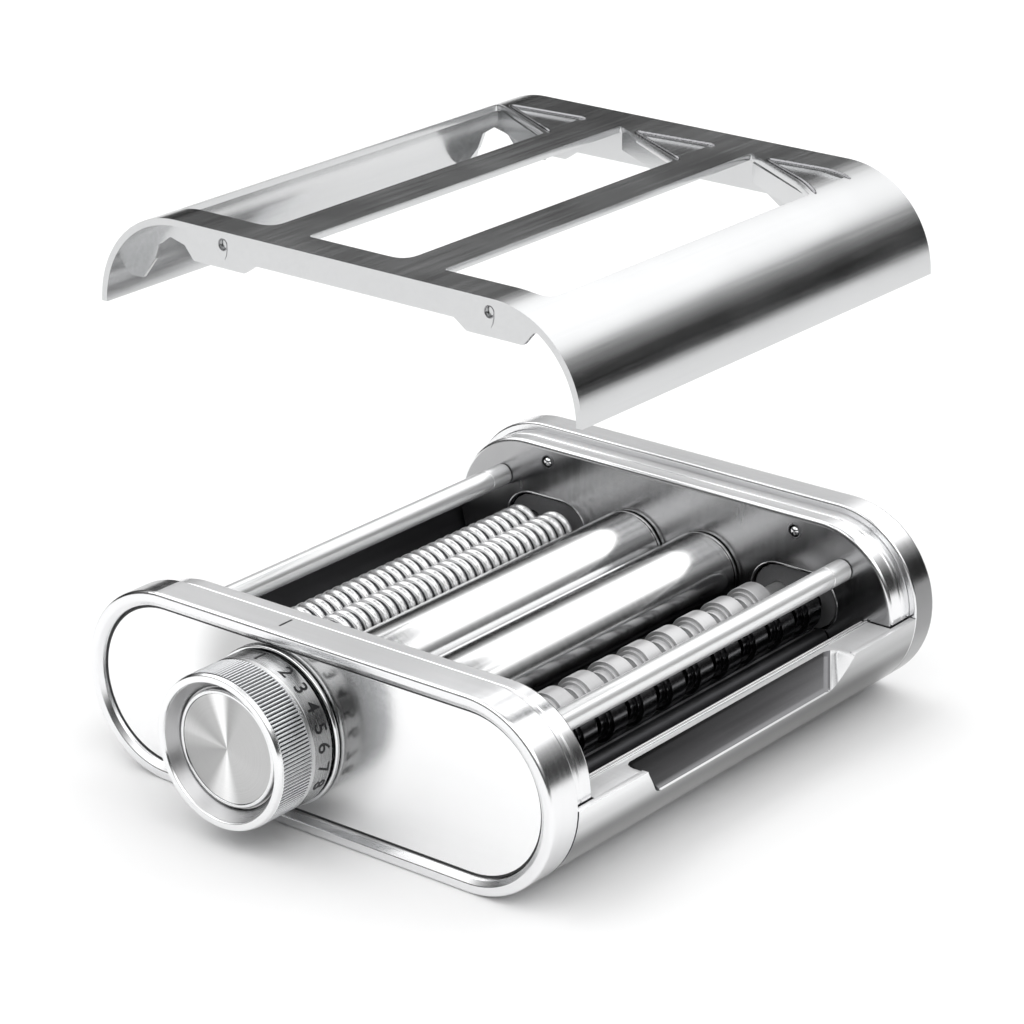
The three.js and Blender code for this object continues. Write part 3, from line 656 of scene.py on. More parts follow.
def round_cut(x, z, radius, low, high, matrix=None):
    profile = [(0, low), (radius, low), (radius, high), (0, high)]
    return turned("cut", profile, x, z, POLISHED, SMALL_ROUND, matrix=matrix)


def plate(name, node, face, outward):
    """End plate with a rim. outward is the way from the rollers to the plate, along y."""
    far = FRONT_PLATE.y0 if outward < 0 else REAR_PLATE.y1
    flat, deep, back = LEDGE_R - 8, 0.35, face + outward * RIM
    groove = face + outward * 5.6
    profile = rounded([
        (flat, face), (LEDGE_R, face, 1.6),
        (LEDGE_R, groove - deep * outward, 0.15), (LEDGE_R - deep, groove, 0.1),
        (LEDGE_R, groove + deep * outward, 0.15), (LEDGE_R, far, 0.3),
        (LEDGE_R - RIM, far, 0.3), (LEDGE_R - RIM, back, 0.3), (flat, back),
    ], 0.3, 5)
    body = stadium_solid(name, profile, PLATE_STEEL, capped=True)
    low, high = sorted((face - outward, face + outward * (RIM + 1)))
    cuts = []
    for _, side in SIDES:
        outline = [(side * CUTTER_X + cx + OPENING_R * dx, OPENING_R * dz)
                   for cx, dx, dz in round_ends(OPENING_HALF, 24)]
        cuts.append(prism("cut", outline, low, high))
        cuts.append(round_cut(side * BALL_X, BALL.z, COLLAR_IN + 0.05, low, high))
    combine(body, cuts, "DIFFERENCE")
    soften(body, 0.3, 3, 50)
    true_normals(body, BODY_FRAME)
    finish(body, RING_STEEL_PAINTED_TOP_LIGHT, lambda normal, at: abs(normal.y) < 0.97 and from_axis(at) > LEDGE_R - 2)
    piece(body, "housing", "dark_steel", node)


def opening_rims():
    """Thin raised line round each opening of the plates."""
    sides, radius = 8, 0.22
    columns = list(round_ends(OPENING_HALF, 23))
    for end, face, outward in PLATE_FACES:
        for cutter, side in CUTTERS.items():
            points = []
            for cx, dx, dz in columns:
                for out, along in circle(sides):
                    reach = OPENING_R + 0.45 + radius * out
                    y = face - outward * 0.02 + radius * along
                    points.append((side * CUTTER_X + cx + dx * reach, y, dz * reach))
            faces = strips(len(columns), sides, True, True)
            rim = on_frame(f"{cutter}_opening_rim_{end}", points, faces, RING_STEEL_PAINTED_TOP_LIGHT)
            piece(smooth(rim), "housing", "dark_steel")


def detent_balls():
    """Spring ball in each plate, with a flat collar round it."""
    for end, face, outward in PLATE_FACES:
        for name, _ in SIDES:
            node = f"detent_ball_{end}_{name}"
            at = place_of(node)
            centre = (at.y0 + at.y1) / 2
            angles = [pi * i / 24 for i in range(25)]
            arc = [(at.r * sin(a), centre - at.r * cos(a)) for a in angles]
            arc[0], arc[-1] = (0, arc[0][1]), (0, arc[-1][1])
            ball = turned(f"ball_{end}_{name}", arc, at.x, at.z, POLISHED, SMALL_ROUND)
            piece(ball, f"ball_{end}_{name}", "satin_steel", node)
            proud, root = face - 0.12 * outward, face + 0.2 * outward
            corners = [(COLLAR_IN, root), (COLLAR_IN, proud), (COLLAR_OUT, proud), (COLLAR_OUT, root)]
            collar = rounded(corners, 0.04, 3, closed=True)
            ring = turned(f"ball_collar_{end}_{name}", collar, at.x, at.z, DARK_STEEL, SMALL_ROUND)
            piece(ring, "housing", "dark_steel")


SHAFT_X = place_of("drive_shaft").x
SQUARE_HALF = 4
SQUARE_LONG = 22
HUB_HOLE_R = 7
HUB = place_of("drive_hub")


def rear_cap():
    """End cap with rounded edges, holes for its screws and one for the hub."""
    low, high = CAP.y0, CAP.y1
    flat = R_BODY - 10
    profile = rounded([
        (flat, high), (R_BODY, high, 2.2), (R_BODY, low, 0.9), (R_BODY - RIM, low, 0.4),
        (R_BODY - RIM, high - RIM, 0.5), (flat, high - RIM),
    ], 0.4, 6)
    cap = stadium_solid("cap_rear", profile, RING_STEEL_PAINTED_TOP_LIGHT, capped=True)
    cuts = [round_cut(SHAFT_X, 0, HUB_HOLE_R, high - 4, high + 1)]
    cuts += [round_cut(s.x, s.z, s.r + 0.3, high - 4, high + 1) for s in screws()]
    combine(cap, cuts, "DIFFERENCE")
    soften(cap, 0.25, 2, 60)
    true_normals(cap, BODY_FRAME)
    # The cap's right side gets painted shade.
    finish(cap, CAP_PAINTED_LIGHT_SHADE_STEEL, lambda normal, at: normal.x > 0 and abs(normal.y) < 0.5)
    piece(cap, "housing", "polished_steel", "rear_cap")


def screws():
    return [place_of(f"cap_screw_{i + 1}") for i in range(4)]


def cap_screws():
    """Cross-head screws that hold the rear cap."""
    for i, at in enumerate(screws()):
        seat = at.y1 - 1.7
        profile = rounded([(0, at.y0), (1.5, at.y0), (1.5, seat), (at.r, seat, 0.2),
                           (at.r, at.y1 - 0.2, 0.5), (0, at.y1)], 0.2, 4)
        screw = turned(f"screw_{i + 1}", profile, at.x, at.z, SATIN, SMALL_ROUND)
        cross = []
        for across, up in ((0.35, 1.7), (1.7, 0.35)):
            corners = box_corners(at.x, at.z, across, up)
            cross.append(prism("cut", corners, at.y1 - 1, at.y1 + 1))
        screw.modifiers.clear()
        combine(screw, cross, "DIFFERENCE")
        piece(smooth(screw), "housing", "satin_steel", f"cap_screw_{i + 1}")


def drive_hub():
    """Flanged hub with a locking groove, bored for the shaft."""
    r, low, high = HUB.r, HUB.y0, HUB.y1
    flange = low + 4
    shank, groove, bore = 11, 10.6, 6.3
    profile = rounded([
        (r, low), (r, flange, 0.8), (shank + 0.6, flange, 0.6), (shank, flange + 2, 0.6),
        (shank, high - 8), (groove, high - 7.6, 0.3), (groove, high - 6.4, 0.3), (shank, high - 6),
        (shank, high - 1.4, 0.5), (shank - 1, high, 0.4), (bore, high, 0.4), (bore, low),
    ], 0.3, 4, closed=True)
    hub = turned("hub_drive", profile, SHAFT_X, 0, TURNED)
    piece(hub, "housing", "satin_steel", "drive_hub")


def drive_shaft():
    """Round shaft with a square end, 8 mm across, for the mixer."""
    at = place_of("drive_shaft")
    step = at.y1 - SQUARE_LONG
    round_part = rounded([(0, at.y0), (5, at.y0, 0.3), (5, step, 0.6), (0, step)], 0.3)
    shaft = turned("shaft_drive", round_part, SHAFT_X, 0, TURNED, 64)
    shaft.modifiers.clear()
    corners = box_corners(SHAFT_X, 0, SQUARE_HALF, SQUARE_HALF)
    square = prism("square", rounded(corners, 0.6, 3, closed=True), step - 1, at.y1)
    soften(square, 0.6, 3, 60)
    combine(shaft, [square], "UNION")
    piece(smooth(shaft), "drive", "satin_steel", "drive_shaft")


# ---------- lower shell ----------

SCOOP_TOP = (43.0, 149.0)              # ends of a finger scoop at the shell's rim and at its lower edge
SCOOP_FOOT = (50.0, 137.0)
SCOOP_DEEP = 77.0
SCOOP_LOW = -10.2
SCOOP_WALL = ((75, -1), (86.4, -1), (86.4, -4), (82.6, -14.4))    # outline of the wall round the scoop
EXITS = ((-59, -37), (-12, 12), (37, 59))
EXIT_FRONT, EXIT_REAR = 30, 163
EXIT_CUT = (-40, -22)                  # heights between which the exits are cut


def half_wall(outer, inner, start, steps, below):
    """Outline of half of the stadium's wall, in x and z, with rounded tips."""
    sign = -1 if below else 1
    outline = []
    for radius, way in ((outer, 1), (inner, -1)):
        angles = [asin(start / radius) + (pi / 2 - asin(start / radius)) * i / steps
                  for i in range(steps + 1)]
        half = [(HALF_STRAIGHT + radius * cos(a), sign * radius * sin(a)) for a in angles]
        whole = half + [(-x, z) for x, z in reversed(half)]
        outline += whole[::way]
    return outline


def in_scoop(normal, at):
    return (at.x > SCOOP_DEEP - 0.5 and at.z > SCOOP_LOW - 0.6 and normal.x > 0
            and SCOOP_TOP[0] < at.y < SCOOP_TOP[1] - 8 and from_axis(at) < R_BODY - 0.4)


def at_scoop_end(normal, at):
    """Faces at the scoop's rear end, which look forwards."""
    return (at.x > SCOOP_DEEP and at.z > SCOOP_LOW - 1 and normal.y < -0.4
            and SCOOP_FOOT[1] - 3 < at.y < SCOOP_TOP[1] + 1.5)


def lower_shell():
    """Trough under the rollers, with a finger scoop in its right side and three exits in its bottom."""
    wall = half_wall(R_BODY, R_BODY - SHEET, 0.4, WALL_STEPS, True)
    shell = prism("shell_lower", wall, SHELL.y0, SHELL.y1, "Y", SHELL_PAINTED_SHADE_STEEL)
    pocket = prism("pocket", SCOOP_WALL, SCOOP_TOP[0] - SHEET, SCOOP_TOP[1] + SHEET)
    outside = R_BODY + HALF_STRAIGHT + 9
    points = []
    for y_top, y_foot in zip(SCOOP_TOP, SCOOP_FOOT):
        for height in (4, 0):
            points += [(SCOOP_DEEP, y_top, height), (outside, y_top, height)]
        points += [(85.4, y_foot, SCOOP_LOW), (outside, y_foot, SCOOP_LOW)]
    scoop = hull("scoop", points, round_off=2.6)
    combine(shell, [pocket], "UNION")
    exits = []
    for a, b in EXITS:
        outline = [(a, EXIT_FRONT), (b, EXIT_FRONT), (b, EXIT_REAR), (a, EXIT_REAR)]
        exits.append(prism("exit", rounded(outline, 3, 6, closed=True), *EXIT_CUT, "Z"))
    combine(shell, [scoop, *exits], "DIFFERENCE")
    soften(shell, 0.32, 3, 40)
    true_normals(shell, BODY_FRAME)
    finish(shell, INNER_STEEL, lambda normal, at: from_axis(at) < R_BODY - 1.2)
    finish(shell, SCOOP_STEEL, in_scoop)
    finish(shell, SCOOP_END_PAINTED_SHADE_STEEL, at_scoop_end)
    finish(shell, RING_STEEL_PAINTED_TOP_LIGHT, lambda normal, at: normal.z > 0.9 and at.x > 0 and at.z > -3)
    piece(shell, "housing", "polished_steel", "lower_shell")


def shell_folds():
    """Inward fold of the right rim: a ledge at both ends of the scoop, and two raised lines on its edge."""
    low, high = SHELL.y0 + 10.2, SHELL.y1 - 10.2
    edge = SCOOP_DEEP - 0.9
    parts = (
        ("ledge_front", (edge, -0.85, 85.7, -1.7), low, SCOOP_TOP[0] - 0.35),
        ("ledge_rear", (edge, -0.85, 85.7, -1.7), SCOOP_TOP[1] + 0.35, high),
        ("line_outer", (edge - 0.9, -0.5, edge + 0.2, -1.9), low, high),
        ("line_inner", (edge - 2.5, -1.1, edge - 1.7, -2.3), low, high),
    )
    for name, (x0, top, x1, foot), start, end in parts:
        outline = rounded([(x0, top), (x1, top), (x1, foot), (x0, foot)], 0.3, 4, closed=True)
        fold = prism(f"shell_fold_{name}", outline, start, end, "Y", RING_STEEL_PAINTED_TOP_LIGHT)
        piece(smooth(fold), "housing", "polished_steel")


# ---------- rods and scrapers ----------


def rod_piece(node, name, material, grooved):
    """Tie rod. A grooved one has a fine line turned into it near its rear end."""
    at = place_of(node)
    r, low, high = at.r, at.y0, at.y1
    profile = [(0, low), (r, low, 0.4)]
    if grooved:
        mark, deep = high - 9, r - 0.25
        profile += [(r, mark - 0.3), (deep, mark - 0.15), (deep, mark + 0.15), (r, mark + 0.3)]
    profile += [(r, high, 0.4), (0, high)]
    rod = turned(name, rounded(profile, 0.08, 3), at.x, at.z, material, 64)
    piece(rod, "housing", "polished_steel", node)


def scraper_piece(node, roller):
    """Rod with a thin blade that reaches towards its roller."""
    x, z, r = SCRAPER_RODS[node]
    at = place_of(node)
    target = place_of(roller)
    toward = Vector((target.x - x, target.z - z))
    reach = toward.length - target.r - 0.6
    u = toward.normalized()
    v = Vector((-u.y, u.x))
    low, high = at.y0, at.y1
    profile = rounded([(0, low), (r, low, 0.4), (r, high, 0.4), (0, high)], 0.3, 3)
    bar = turned("rod_" + node, profile, x, z, MATT_STEEL, 64)
    bar.modifiers.clear()
    corners = [(0, -0.6), (reach - 1.2, -0.6), (reach, -0.1), (reach, 0.6), (0, 0.6)]
    outline = [tuple(Vector((x, z)) + u * a + v * b) for a, b in corners]
    combine(bar, [prism("blade", outline, low + 2, high - 2)], "UNION")
    piece(smooth(bar), "housing", "dark_steel", node)


def scraper_rods():
    """Centre and radius of each scraper's rod: its box's low outer corner belongs to the rod."""
    found = {}
    for node, r in [(f"smooth_scraper_{n}", 2.5) for n, _ in SIDES] + [
        (f"{c}_scraper_{p}", 3.0) for c in CUTTERS for p in ("inner", "outer")
    ]:
        low, high = (TO_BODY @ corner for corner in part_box(node))
        roller = place_of(ROLLER_OF[node])
        left_of = roller.x < (low.x + high.x) / 2
        found[node] = (high.x - r if left_of else low.x + r, low.z + r, r)
    return found


ROLLER_OF = {
    "smooth_scraper_left": "adjustable_smooth_roller",
    "smooth_scraper_right": "fixed_smooth_roller",
    "spaghetti_scraper_inner": "spaghetti_roller_inner",
    "spaghetti_scraper_outer": "spaghetti_roller_outer",
    "fettuccine_scraper_inner": "fettuccine_roller_inner",
    "fettuccine_scraper_outer": "fettuccine_roller_outer",
}
SCRAPER_RODS = scraper_rods()


def rods():
    for name, _ in SIDES:
        rod_piece(f"upper_tie_rod_{name}", f"tie_rod_upper_{name}", ROD_STEEL, True)
        rod_piece(f"lower_tie_rod_{name}", f"tie_rod_lower_{name}", DARK_STEEL, False)
    for node, roller in ROLLER_OF.items():
        scraper_piece(node, roller)


# ---------- rollers ----------

JOURNAL_R = 4
CUTTER_JOURNAL_R = 3.2
ROLLER_R = 13.4
CUTTER_R = 7.2
ROOT_R = 4.9
SPAGHETTI_PITCH = 4.15
RIDGES = 35
RIDGE_HALF = 1.45
GROOVE_R = 5.2
FETTUCCINE_PITCH = 14.15
LAND = 6.5
LANDS = 10
SHOULDER_R = 6.0
MIDDLE_Y = (Y_FRONT_FACE + Y_REAR_FACE) / 2


def smooth_roller(node, name, body, rear_journal):
    """Plain roller with a step at its front end and a collar at its rear end."""
    at = place_of(node)
    low, high = Y_FRONT_FACE + 0.5, Y_REAR_FACE - 0.5
    end = [(JOURNAL_R, high, 0.3), (JOURNAL_R, at.y1, 0.4), (0, at.y1)] if rear_journal else [(0, high)]
    collar, step, collar_r = high - 1.6, ROLLER_R - 0.7, ROLLER_R - 0.15
    profile = rounded([
        (0, at.y0), (JOURNAL_R, at.y0, 0.4), (JOURNAL_R, low, 0.3),
        (step, low, 0.2), (step, low + 0.8, 0.1), (ROLLER_R, low + 1.1, 0.2),
        (ROLLER_R, collar - 0.3, 0.2), (step, collar, 0.1), (step, collar + 0.5, 0.1),
        (collar_r, collar + 0.7, 0.1), (collar_r, high, 0.3), *end,
    ], 0.2, 4)
    roller = turned(name, profile, at.x, at.z, ROLLER_PAINTED_SHADE_STEEL, FINE_ROUND)
    piece(roller, body, "polished_steel", node)


def spaghetti_roller(place, shift):
    """Round-topped ridges with narrow flat grooves between them."""
    node = f"spaghetti_roller_{place}"
    at = place_of(node)
    start = MIDDLE_Y - SPAGHETTI_PITCH * (RIDGES / 2 - shift)
    half = SPAGHETTI_PITCH / 2
    profile = [(0, at.y0), (CUTTER_JOURNAL_R, at.y0), (CUTTER_JOURNAL_R, start), (ROOT_R, start)]
    for i in range(RIDGES):
        middle = start + SPAGHETTI_PITCH * (i + 0.5)
        for k in range(-6, 7):
            turn = k / 6 * pi / 2
            radius = GROOVE_R + (CUTTER_R - GROOVE_R) * cos(turn) ** 0.8
            profile.append((radius, middle + sin(turn) * RIDGE_HALF))
        profile.append((GROOVE_R, middle + half))
    last = start + SPAGHETTI_PITCH * RIDGES
    profile += [(CUTTER_JOURNAL_R, last), (CUTTER_JOURNAL_R, at.y1), (0, at.y1)]
    roller = turned(f"roller_spaghetti_{place}", profile, at.x, at.z, HOSE_STEEL, 64)
    # Groove floors get dark steel: painted shade in the grooves.
    finish(roller, DARK_STEEL, lambda _, here: hypot(here.x - at.x, here.z - at.z) < GROOVE_R + 0.45)
    piece(roller, f"spaghetti_{place}", "polished_steel", node)


def fettuccine_roller(place, shift, material):
    """Wide lands, with a shoulder and a fine ring in each groove."""
    node = f"fettuccine_roller_{place}"
    at = place_of(node)
    start = MIDDLE_Y + FETTUCCINE_PITCH * (shift - LANDS / 2)
    profile = [(0, at.y0), (CUTTER_JOURNAL_R, at.y0)]
    for i in range(LANDS):
        low = start + FETTUCCINE_PITCH * i + (FETTUCCINE_PITCH - LAND) / 2
        high = low + LAND
        profile += [(CUTTER_JOURNAL_R, low - 3.2), (ROOT_R, low - 3.2, 0.2), (ROOT_R, low - 1.0, 0.1)]
        profile += [(SHOULDER_R, low - 1.0, 0.15), (SHOULDER_R, low, 0.05), (CUTTER_R, low, 0.25)]
        profile += [(CUTTER_R, high, 0.25), (SHOULDER_R, high, 0.05), (SHOULDER_R, high + 1.0, 0.15)]
        profile += [(ROOT_R, high + 1.0, 0.1), (ROOT_R, high + 2.6, 0.2), (CUTTER_JOURNAL_R, high + 2.6)]
    profile += [(CUTTER_JOURNAL_R, at.y1), (0, at.y1)]
    name = f"roller_fettuccine_{place}"
    roller = turned(name, rounded(profile, 0.05, 3), at.x, at.z, material, 72)
    piece(roller, f"fettuccine_{place}", "satin_steel", node)


def rollers():
    smooth_roller("fixed_smooth_roller", "roller_smooth_fixed", "drive", False)
    smooth_roller("adjustable_smooth_roller", "roller_smooth_adjustable", "adjustable_roller", True)
    spaghetti_roller("outer", -0.25)
    spaghetti_roller("inner", 0.25)
    fettuccine_roller("inner", -0.25, LAND_STEEL)
    fettuccine_roller("outer", 0.25, FETTUCCINE_PAINTED_SHADE_STEEL)


# ---------- dial and knob ----------

DRUM = place_of("dial_drum")
BASE = place_of("knob_base_ring")
DIGIT_ANGLES = (89.8, 65.1, 49.5, 34.4, 18.6, 4.8, -11.3, -25.7)
DIGIT_HEIGHT = 4.9
FACE_R = 16.5                          # radius of the spun face in the knob
CAP_SHARE = 0.73                       # height of a digit at font size 1


def base_ring():
    low, high = BASE.y0, BASE.y1
    profile = rounded([(BASE.r - 1.7, low, 0.3), (BASE.r, low, 0.7), (BASE.r, high, 0.6),
                       (BASE.r - 1.7, high, 0.2)], 0.3, 5, closed=True)
    ring = turned("ring_knob_base", profile, KNOB_X, 0, POLISHED, 128)
    # Dark floor inside the base ring: painted shade behind the dial.
    floor = [(3.9, low + 0.5), (BASE.r - 1.6, low + 0.5), (BASE.r - 1.6, high), (3.9, high)]
    back = turned("ring_knob_base_floor", floor, KNOB_X, 0, DARK_STEEL, 96)
    piece(ring, "housing", "polished_steel", "knob_base_ring")
    piece(back, "housing", "polished_steel")


def dial_drum():
    """Drum that carries the numbers, hollow from behind, with the step at its rear edge painted black:
    painted shadow in the gap to the base ring.
    """
    r, low, high = DRUM.r, DRUM.y0, DRUM.y1
    bore, inside, floor_y = 3.2, 20.5, -6
    profile = rounded([
        (bore, low), (r - 0.9, low, 0.3), (r, low + 0.7, 0.3), (r, high - 0.7, 0.4),
        (r - 1.1, high - 0.65, 0.1), (r - 1.1, high, 0.1),
        (inside, high, 0.2), (inside, floor_y), (bore, floor_y),
    ], 0.2, 4, closed=True)
    drum = turned("drum_dial", profile, KNOB_X, 0, DRUM_PAINTED_SHADE_STEEL, FINE_ROUND)
    # Painted shadow: the rear step is black like the shade in the gap.
    finish(drum, INK, lambda normal, at: at.y > high - 0.68)
    piece(drum, "dial", "satin_steel", "dial_drum")


def dial_digits():
    """Numbers 1 to 8 round the drum, bent to its surface, to be read from the front."""
    middle = (DRUM.y0 + DRUM.y1) / 2
    radius = DRUM.r + 0.03
    for number, angle in enumerate(DIGIT_ANGLES, start=1):
        curve = bpy.data.curves.new(f"digit_{number}", "FONT")
        curve.body = str(number)
        curve.size = DIGIT_HEIGHT / CAP_SHARE
        curve.align_x = curve.align_y = "CENTER"
        curve.extrude = 0.1
        curve.offset = 0.06
        curve.resolution_u = 6
        text = new_object(f"digit_{number}", curve)
        bpy.context.view_layer.update()
        graph = bpy.context.evaluated_depsgraph_get()
        mesh = bpy.data.meshes.new_from_object(text.evaluated_get(graph))
        bpy.data.objects.remove(text)
        for vertex in mesh.vertices:
            across, along, out = vertex.co
            turn = radians(angle) - across / radius
            r = radius + out * 0.5
            vertex.co = (KNOB_X + r * cos(turn), middle + along, r * sin(turn))
        mesh.transform(BODY_FRAME)
        mesh.materials.clear()
        mesh.materials.append(INK)
        piece(new_object(f"digit_{number}", mesh), "dial", "satin_steel")


def knob_grip():
    """Cup with a straight knurl round it, and a darker turned recess inside its rim."""
    r, low, high = KNOB.r, KNOB.y0, KNOB.y1
    band = (low + 1.5, high - 0.25)

    def knurl(angle, radius, y):
        if radius < r - 0.75 or not band[0] <= y <= band[1]:
            return radius
        ease = min(1.0, (y - band[0]) / 0.4)
        ridge = abs(sin(angle * KNURLS / 2)) ** 0.7
        return r - 0.62 * ease * (1 - ridge)

    bore, inside, floor_y = 3.3, 20.9, -11
    profile = rounded([
        (bore, high), (r - 0.5, high), (r, high - 0.3, 0.1), (r, low + 1.95, 0), (r - 0.05, low + 1.55, 0),
        (r - 0.35, low + 1.4, 0.1), (r - 0.35, low + 1.1, 0.1), (r - 0.02, low + 0.9, 0.1),
        (r - 0.5, low, 0.45), (21.2, low, 0.3),
        (inside, low + 0.6, 0.1), (inside, floor_y), (bore, floor_y),
    ], 0.2, 4, closed=True)
    grip = turned("grip_knob", profile, KNOB_X, 0, RIM_STEEL, KNURLS * 8, knurl)

    def in_band(_, at):
        return band[0] <= at.y <= band[1] and hypot(at.x - KNOB_X, at.z) > r - 0.75

    # The knurled band gets painted shade in its valleys.
    finish(grip, KNURL_PAINTED_SHADE_STEEL, in_band)
    piece(grip, "knob", "polished_steel", "knob_grip")
    groove = rounded([
        (20.95, -11.2), (20.95, low + 0.5, 0.1), (18.7, low + 4.2, 0.3),
        (18.4, low + 5.1, 0.2), (FACE_R, low + 5.1, 0.2), (FACE_R, -11.2),
    ], 0.2, 4, closed=True)
    recess = turned("grip_groove_knob", groove, KNOB_X, 0, GROOVE_STEEL, FINE_ROUND)
    piece(recess, "knob", "polished_steel")


def knob_cap():
    """Spun face, and the polished ring round it."""
    at = place_of("knob_cap")
    low, high = at.y0, at.y1
    ring_in, ring_out = FACE_R, at.r
    disc = [(0, low + 0.35), (ring_in, low + 0.35), (ring_in, high), (0, high)]
    face = turned("face_knob", disc, KNOB_X, 0, FACE, FINE_ROUND)
    profile = rounded([(ring_in + 0.08, low + 0.6), (ring_in + 0.1, low, 0.35), (ring_out - 0.3, low, 0.8),
                       (ring_out, high, 0.2), (ring_in + 0.08, high)], 0.2, 5, closed=True)
    ring = turned("face_ring_knob", profile, KNOB_X, 0, POLISHED, FINE_ROUND)
    piece(face, "knob", "satin_steel", "knob_cap")
    piece(ring, "knob", "polished_steel")


# ---------- cover ----------

COVER = place_of("cover")
SLOTS = ((-66, -31), (-17.5, 17.5), (31, 66))
SLOT_FRONT = 23.6
SLOT_REAR = 147.0
SLOT_SLANT = 168.0
SLOT_CUT = (12, 36)                    # heights between which the slots are cut
END_WALL = 6.5                         # height of the wall at each slot's slanted end
FLANGE_EDGE = ((35.8, 18), (40.2, 15), (59.6, 15), (63, 19), (68.4, 20.4), (73, 17.5), (75, 12.5), (80, 6))
FLANGE = 1.5
FLANGE_GAP = 0.3
RECESS_R = 1.5                         # round recess of the flange that a ball snaps into
RECESS_DEEP = 0.85
POCKET_DEEP = 0.7
POCKET_SHARE = 0.86                    # size of the pocket's sunk floor against its outline
BEAD = 0.75
DIMPLE_TAIL = ((1.6, -1.4), (1.3, -3.0), (0.6, -4.4))    # x and z from the dimple's middle


def cover_top(x):
    """Height of the cover's outer surface over its axis."""
    over = max(0.0, abs(x) - HALF_STRAIGHT)
    return sqrt(R_BODY**2 - over**2)


def slot_outline(low, high):
    front = [(low, SLOT_FRONT, 1.6), (high, SLOT_FRONT, 5.5)]
    return rounded([*front, (high, SLOT_REAR, 1.2), (low, SLOT_SLANT, 1.2)], 1.5, 6, closed=True)


def flange_plate(low, high):
    right = [(x, z, 0.8) for x, z in FLANGE_EDGE]
    left = [(-x, z, 0.8) for x, z in reversed(FLANGE_EDGE)]
    lower = rounded(left + right, 0.8)
    top = half_wall(R_BODY - SHEET / 2, R_BODY - SHEET, 6, END_STEPS // 2, False)
    outer = top[: len(top) // 2]
    return prism("flange", lower + outer, low, high, "Y", COVER_STEEL, COVER_FRAME)


def cover():
    """Curved sheet with three slots, sunk pockets behind them, and a flange at both ends."""
    wall = half_wall(R_BODY, R_BODY - SHEET, COVER_START, WALL_STEPS, False)
    shell = prism("cover_shell", wall, COVER.y0, COVER.y1, "Y", COVER_STEEL, COVER_FRAME)
    front, rear = Y_FRONT_FACE + FLANGE_GAP, Y_REAR_FACE - FLANGE_GAP
    flanges = [flange_plate(front, front + FLANGE), flange_plate(rear - FLANGE, rear)]
    for flange, y in zip(flanges, (front, rear)):
        recesses = [round_cut(side * BALL_X, BALL.z, RECESS_R, y - RECESS_DEEP, y + RECESS_DEEP, COVER_FRAME)
                    for _, side in SIDES]
        combine(flange, recesses, "DIFFERENCE")
    combine(shell, flanges, "UNION")
    cuts = [prism("slot", slot_outline(a, b), *SLOT_CUT, "Z", matrix=COVER_FRAME) for a, b in SLOTS]
    for _, high in SLOTS:
        cuts += pocket_cuts(high)
    combine(shell, cuts, "DIFFERENCE")
    soften(shell, 0.4, 3, 40)
    true_normals(shell, COVER_FRAME)
    piece(shell, "cover", "satin_steel", "cover")


def pocket_corners(high):
    """Corners of the pointed pocket behind a slot's slanted end: apex, rear end, front end."""
    return (high - 28.5, 165.5), (high + 0.2, 167.9), (high + 0.4, 149.5)


def pocket_cuts(high):
    """Shallow sunk floor of the pocket, following the cover's top."""
    corners = [Vector(p) for p in pocket_corners(high)]
    middle = (corners[0] + corners[1] + corners[2]) / 3
    corners = [middle + (p - middle) * POCKET_SHARE for p in corners]
    cuts = []
    for keep_inside in (True, False):
        part = clip(corners, HALF_STRAIGHT, keep_inside)
        if len(part) >= 3:
            points = [(p.x, p.y, cover_top(p.x) - POCKET_DEEP) for p in part]
            points += [(p.x, p.y, R_BODY + 2) for p in part]
            cuts.append(hull("pocket", points, COVER_FRAME))
    return cuts


def clip(corners, edge, keep_inside):
    """Part of a polygon with x below the edge, or above it."""
    kept = []
    for i, here in enumerate(corners):
        after = corners[(i + 1) % len(corners)]
        if (here.x <= edge) == keep_inside:
            kept.append(here)
        if (here.x - edge) * (after.x - edge) < 0:
            t = (edge - here.x) / (after.x - here.x)
            kept.append(here.lerp(after, t))
    return kept


def path_tube(name, path, radius, material, matrix, sides=12, aside=(0, 0, 1)):
    """Round bead along a path that never runs along aside, closed at both ends."""
    path = [Vector(p) for p in path]
    points = []
    for i, at in enumerate(path):
        ahead = (path[min(i + 1, len(path) - 1)] - path[max(i - 1, 0)]).normalized()
        across = ahead.cross(Vector(aside)).normalized()
        up = across.cross(ahead)
        thin = 0.55 if i in (0, len(path) - 1) else 1
        points += [at + (across * a + up * b) * radius * thin for a, b in circle(sides)]
    faces = strips(len(path), sides, False, True)
    faces.append(list(range(sides)))
    faces.append([(len(path) - 1) * sides + k for k in range(sides)])
    return smooth(on_frame(name, points, faces, material, matrix), 60)


def cover_beads():
    """Raised bead on two sides of each pocket, meeting in a sharp V."""
    for i, (_, high) in enumerate(SLOTS):
        apex, rear, front = pocket_corners(high)
        corner = rounded([front, (*apex, 1.1), rear], 1.1, 5)
        path = []
        for a, b in zip(corner, corner[1:]):
            steps = max(1, int((Vector(b) - Vector(a)).length / 1.5))
            path += [Vector(a).lerp(Vector(b), k / steps) for k in range(steps)]
        path.append(Vector(corner[-1]))
        points = [(p.x, p.y, cover_top(p.x) - 0.15) for p in path]
        bead = path_tube(f"cover_bead_{i + 1}", points, BEAD, DARK_STEEL, COVER_FRAME)
        piece(bead, "cover", "satin_steel")


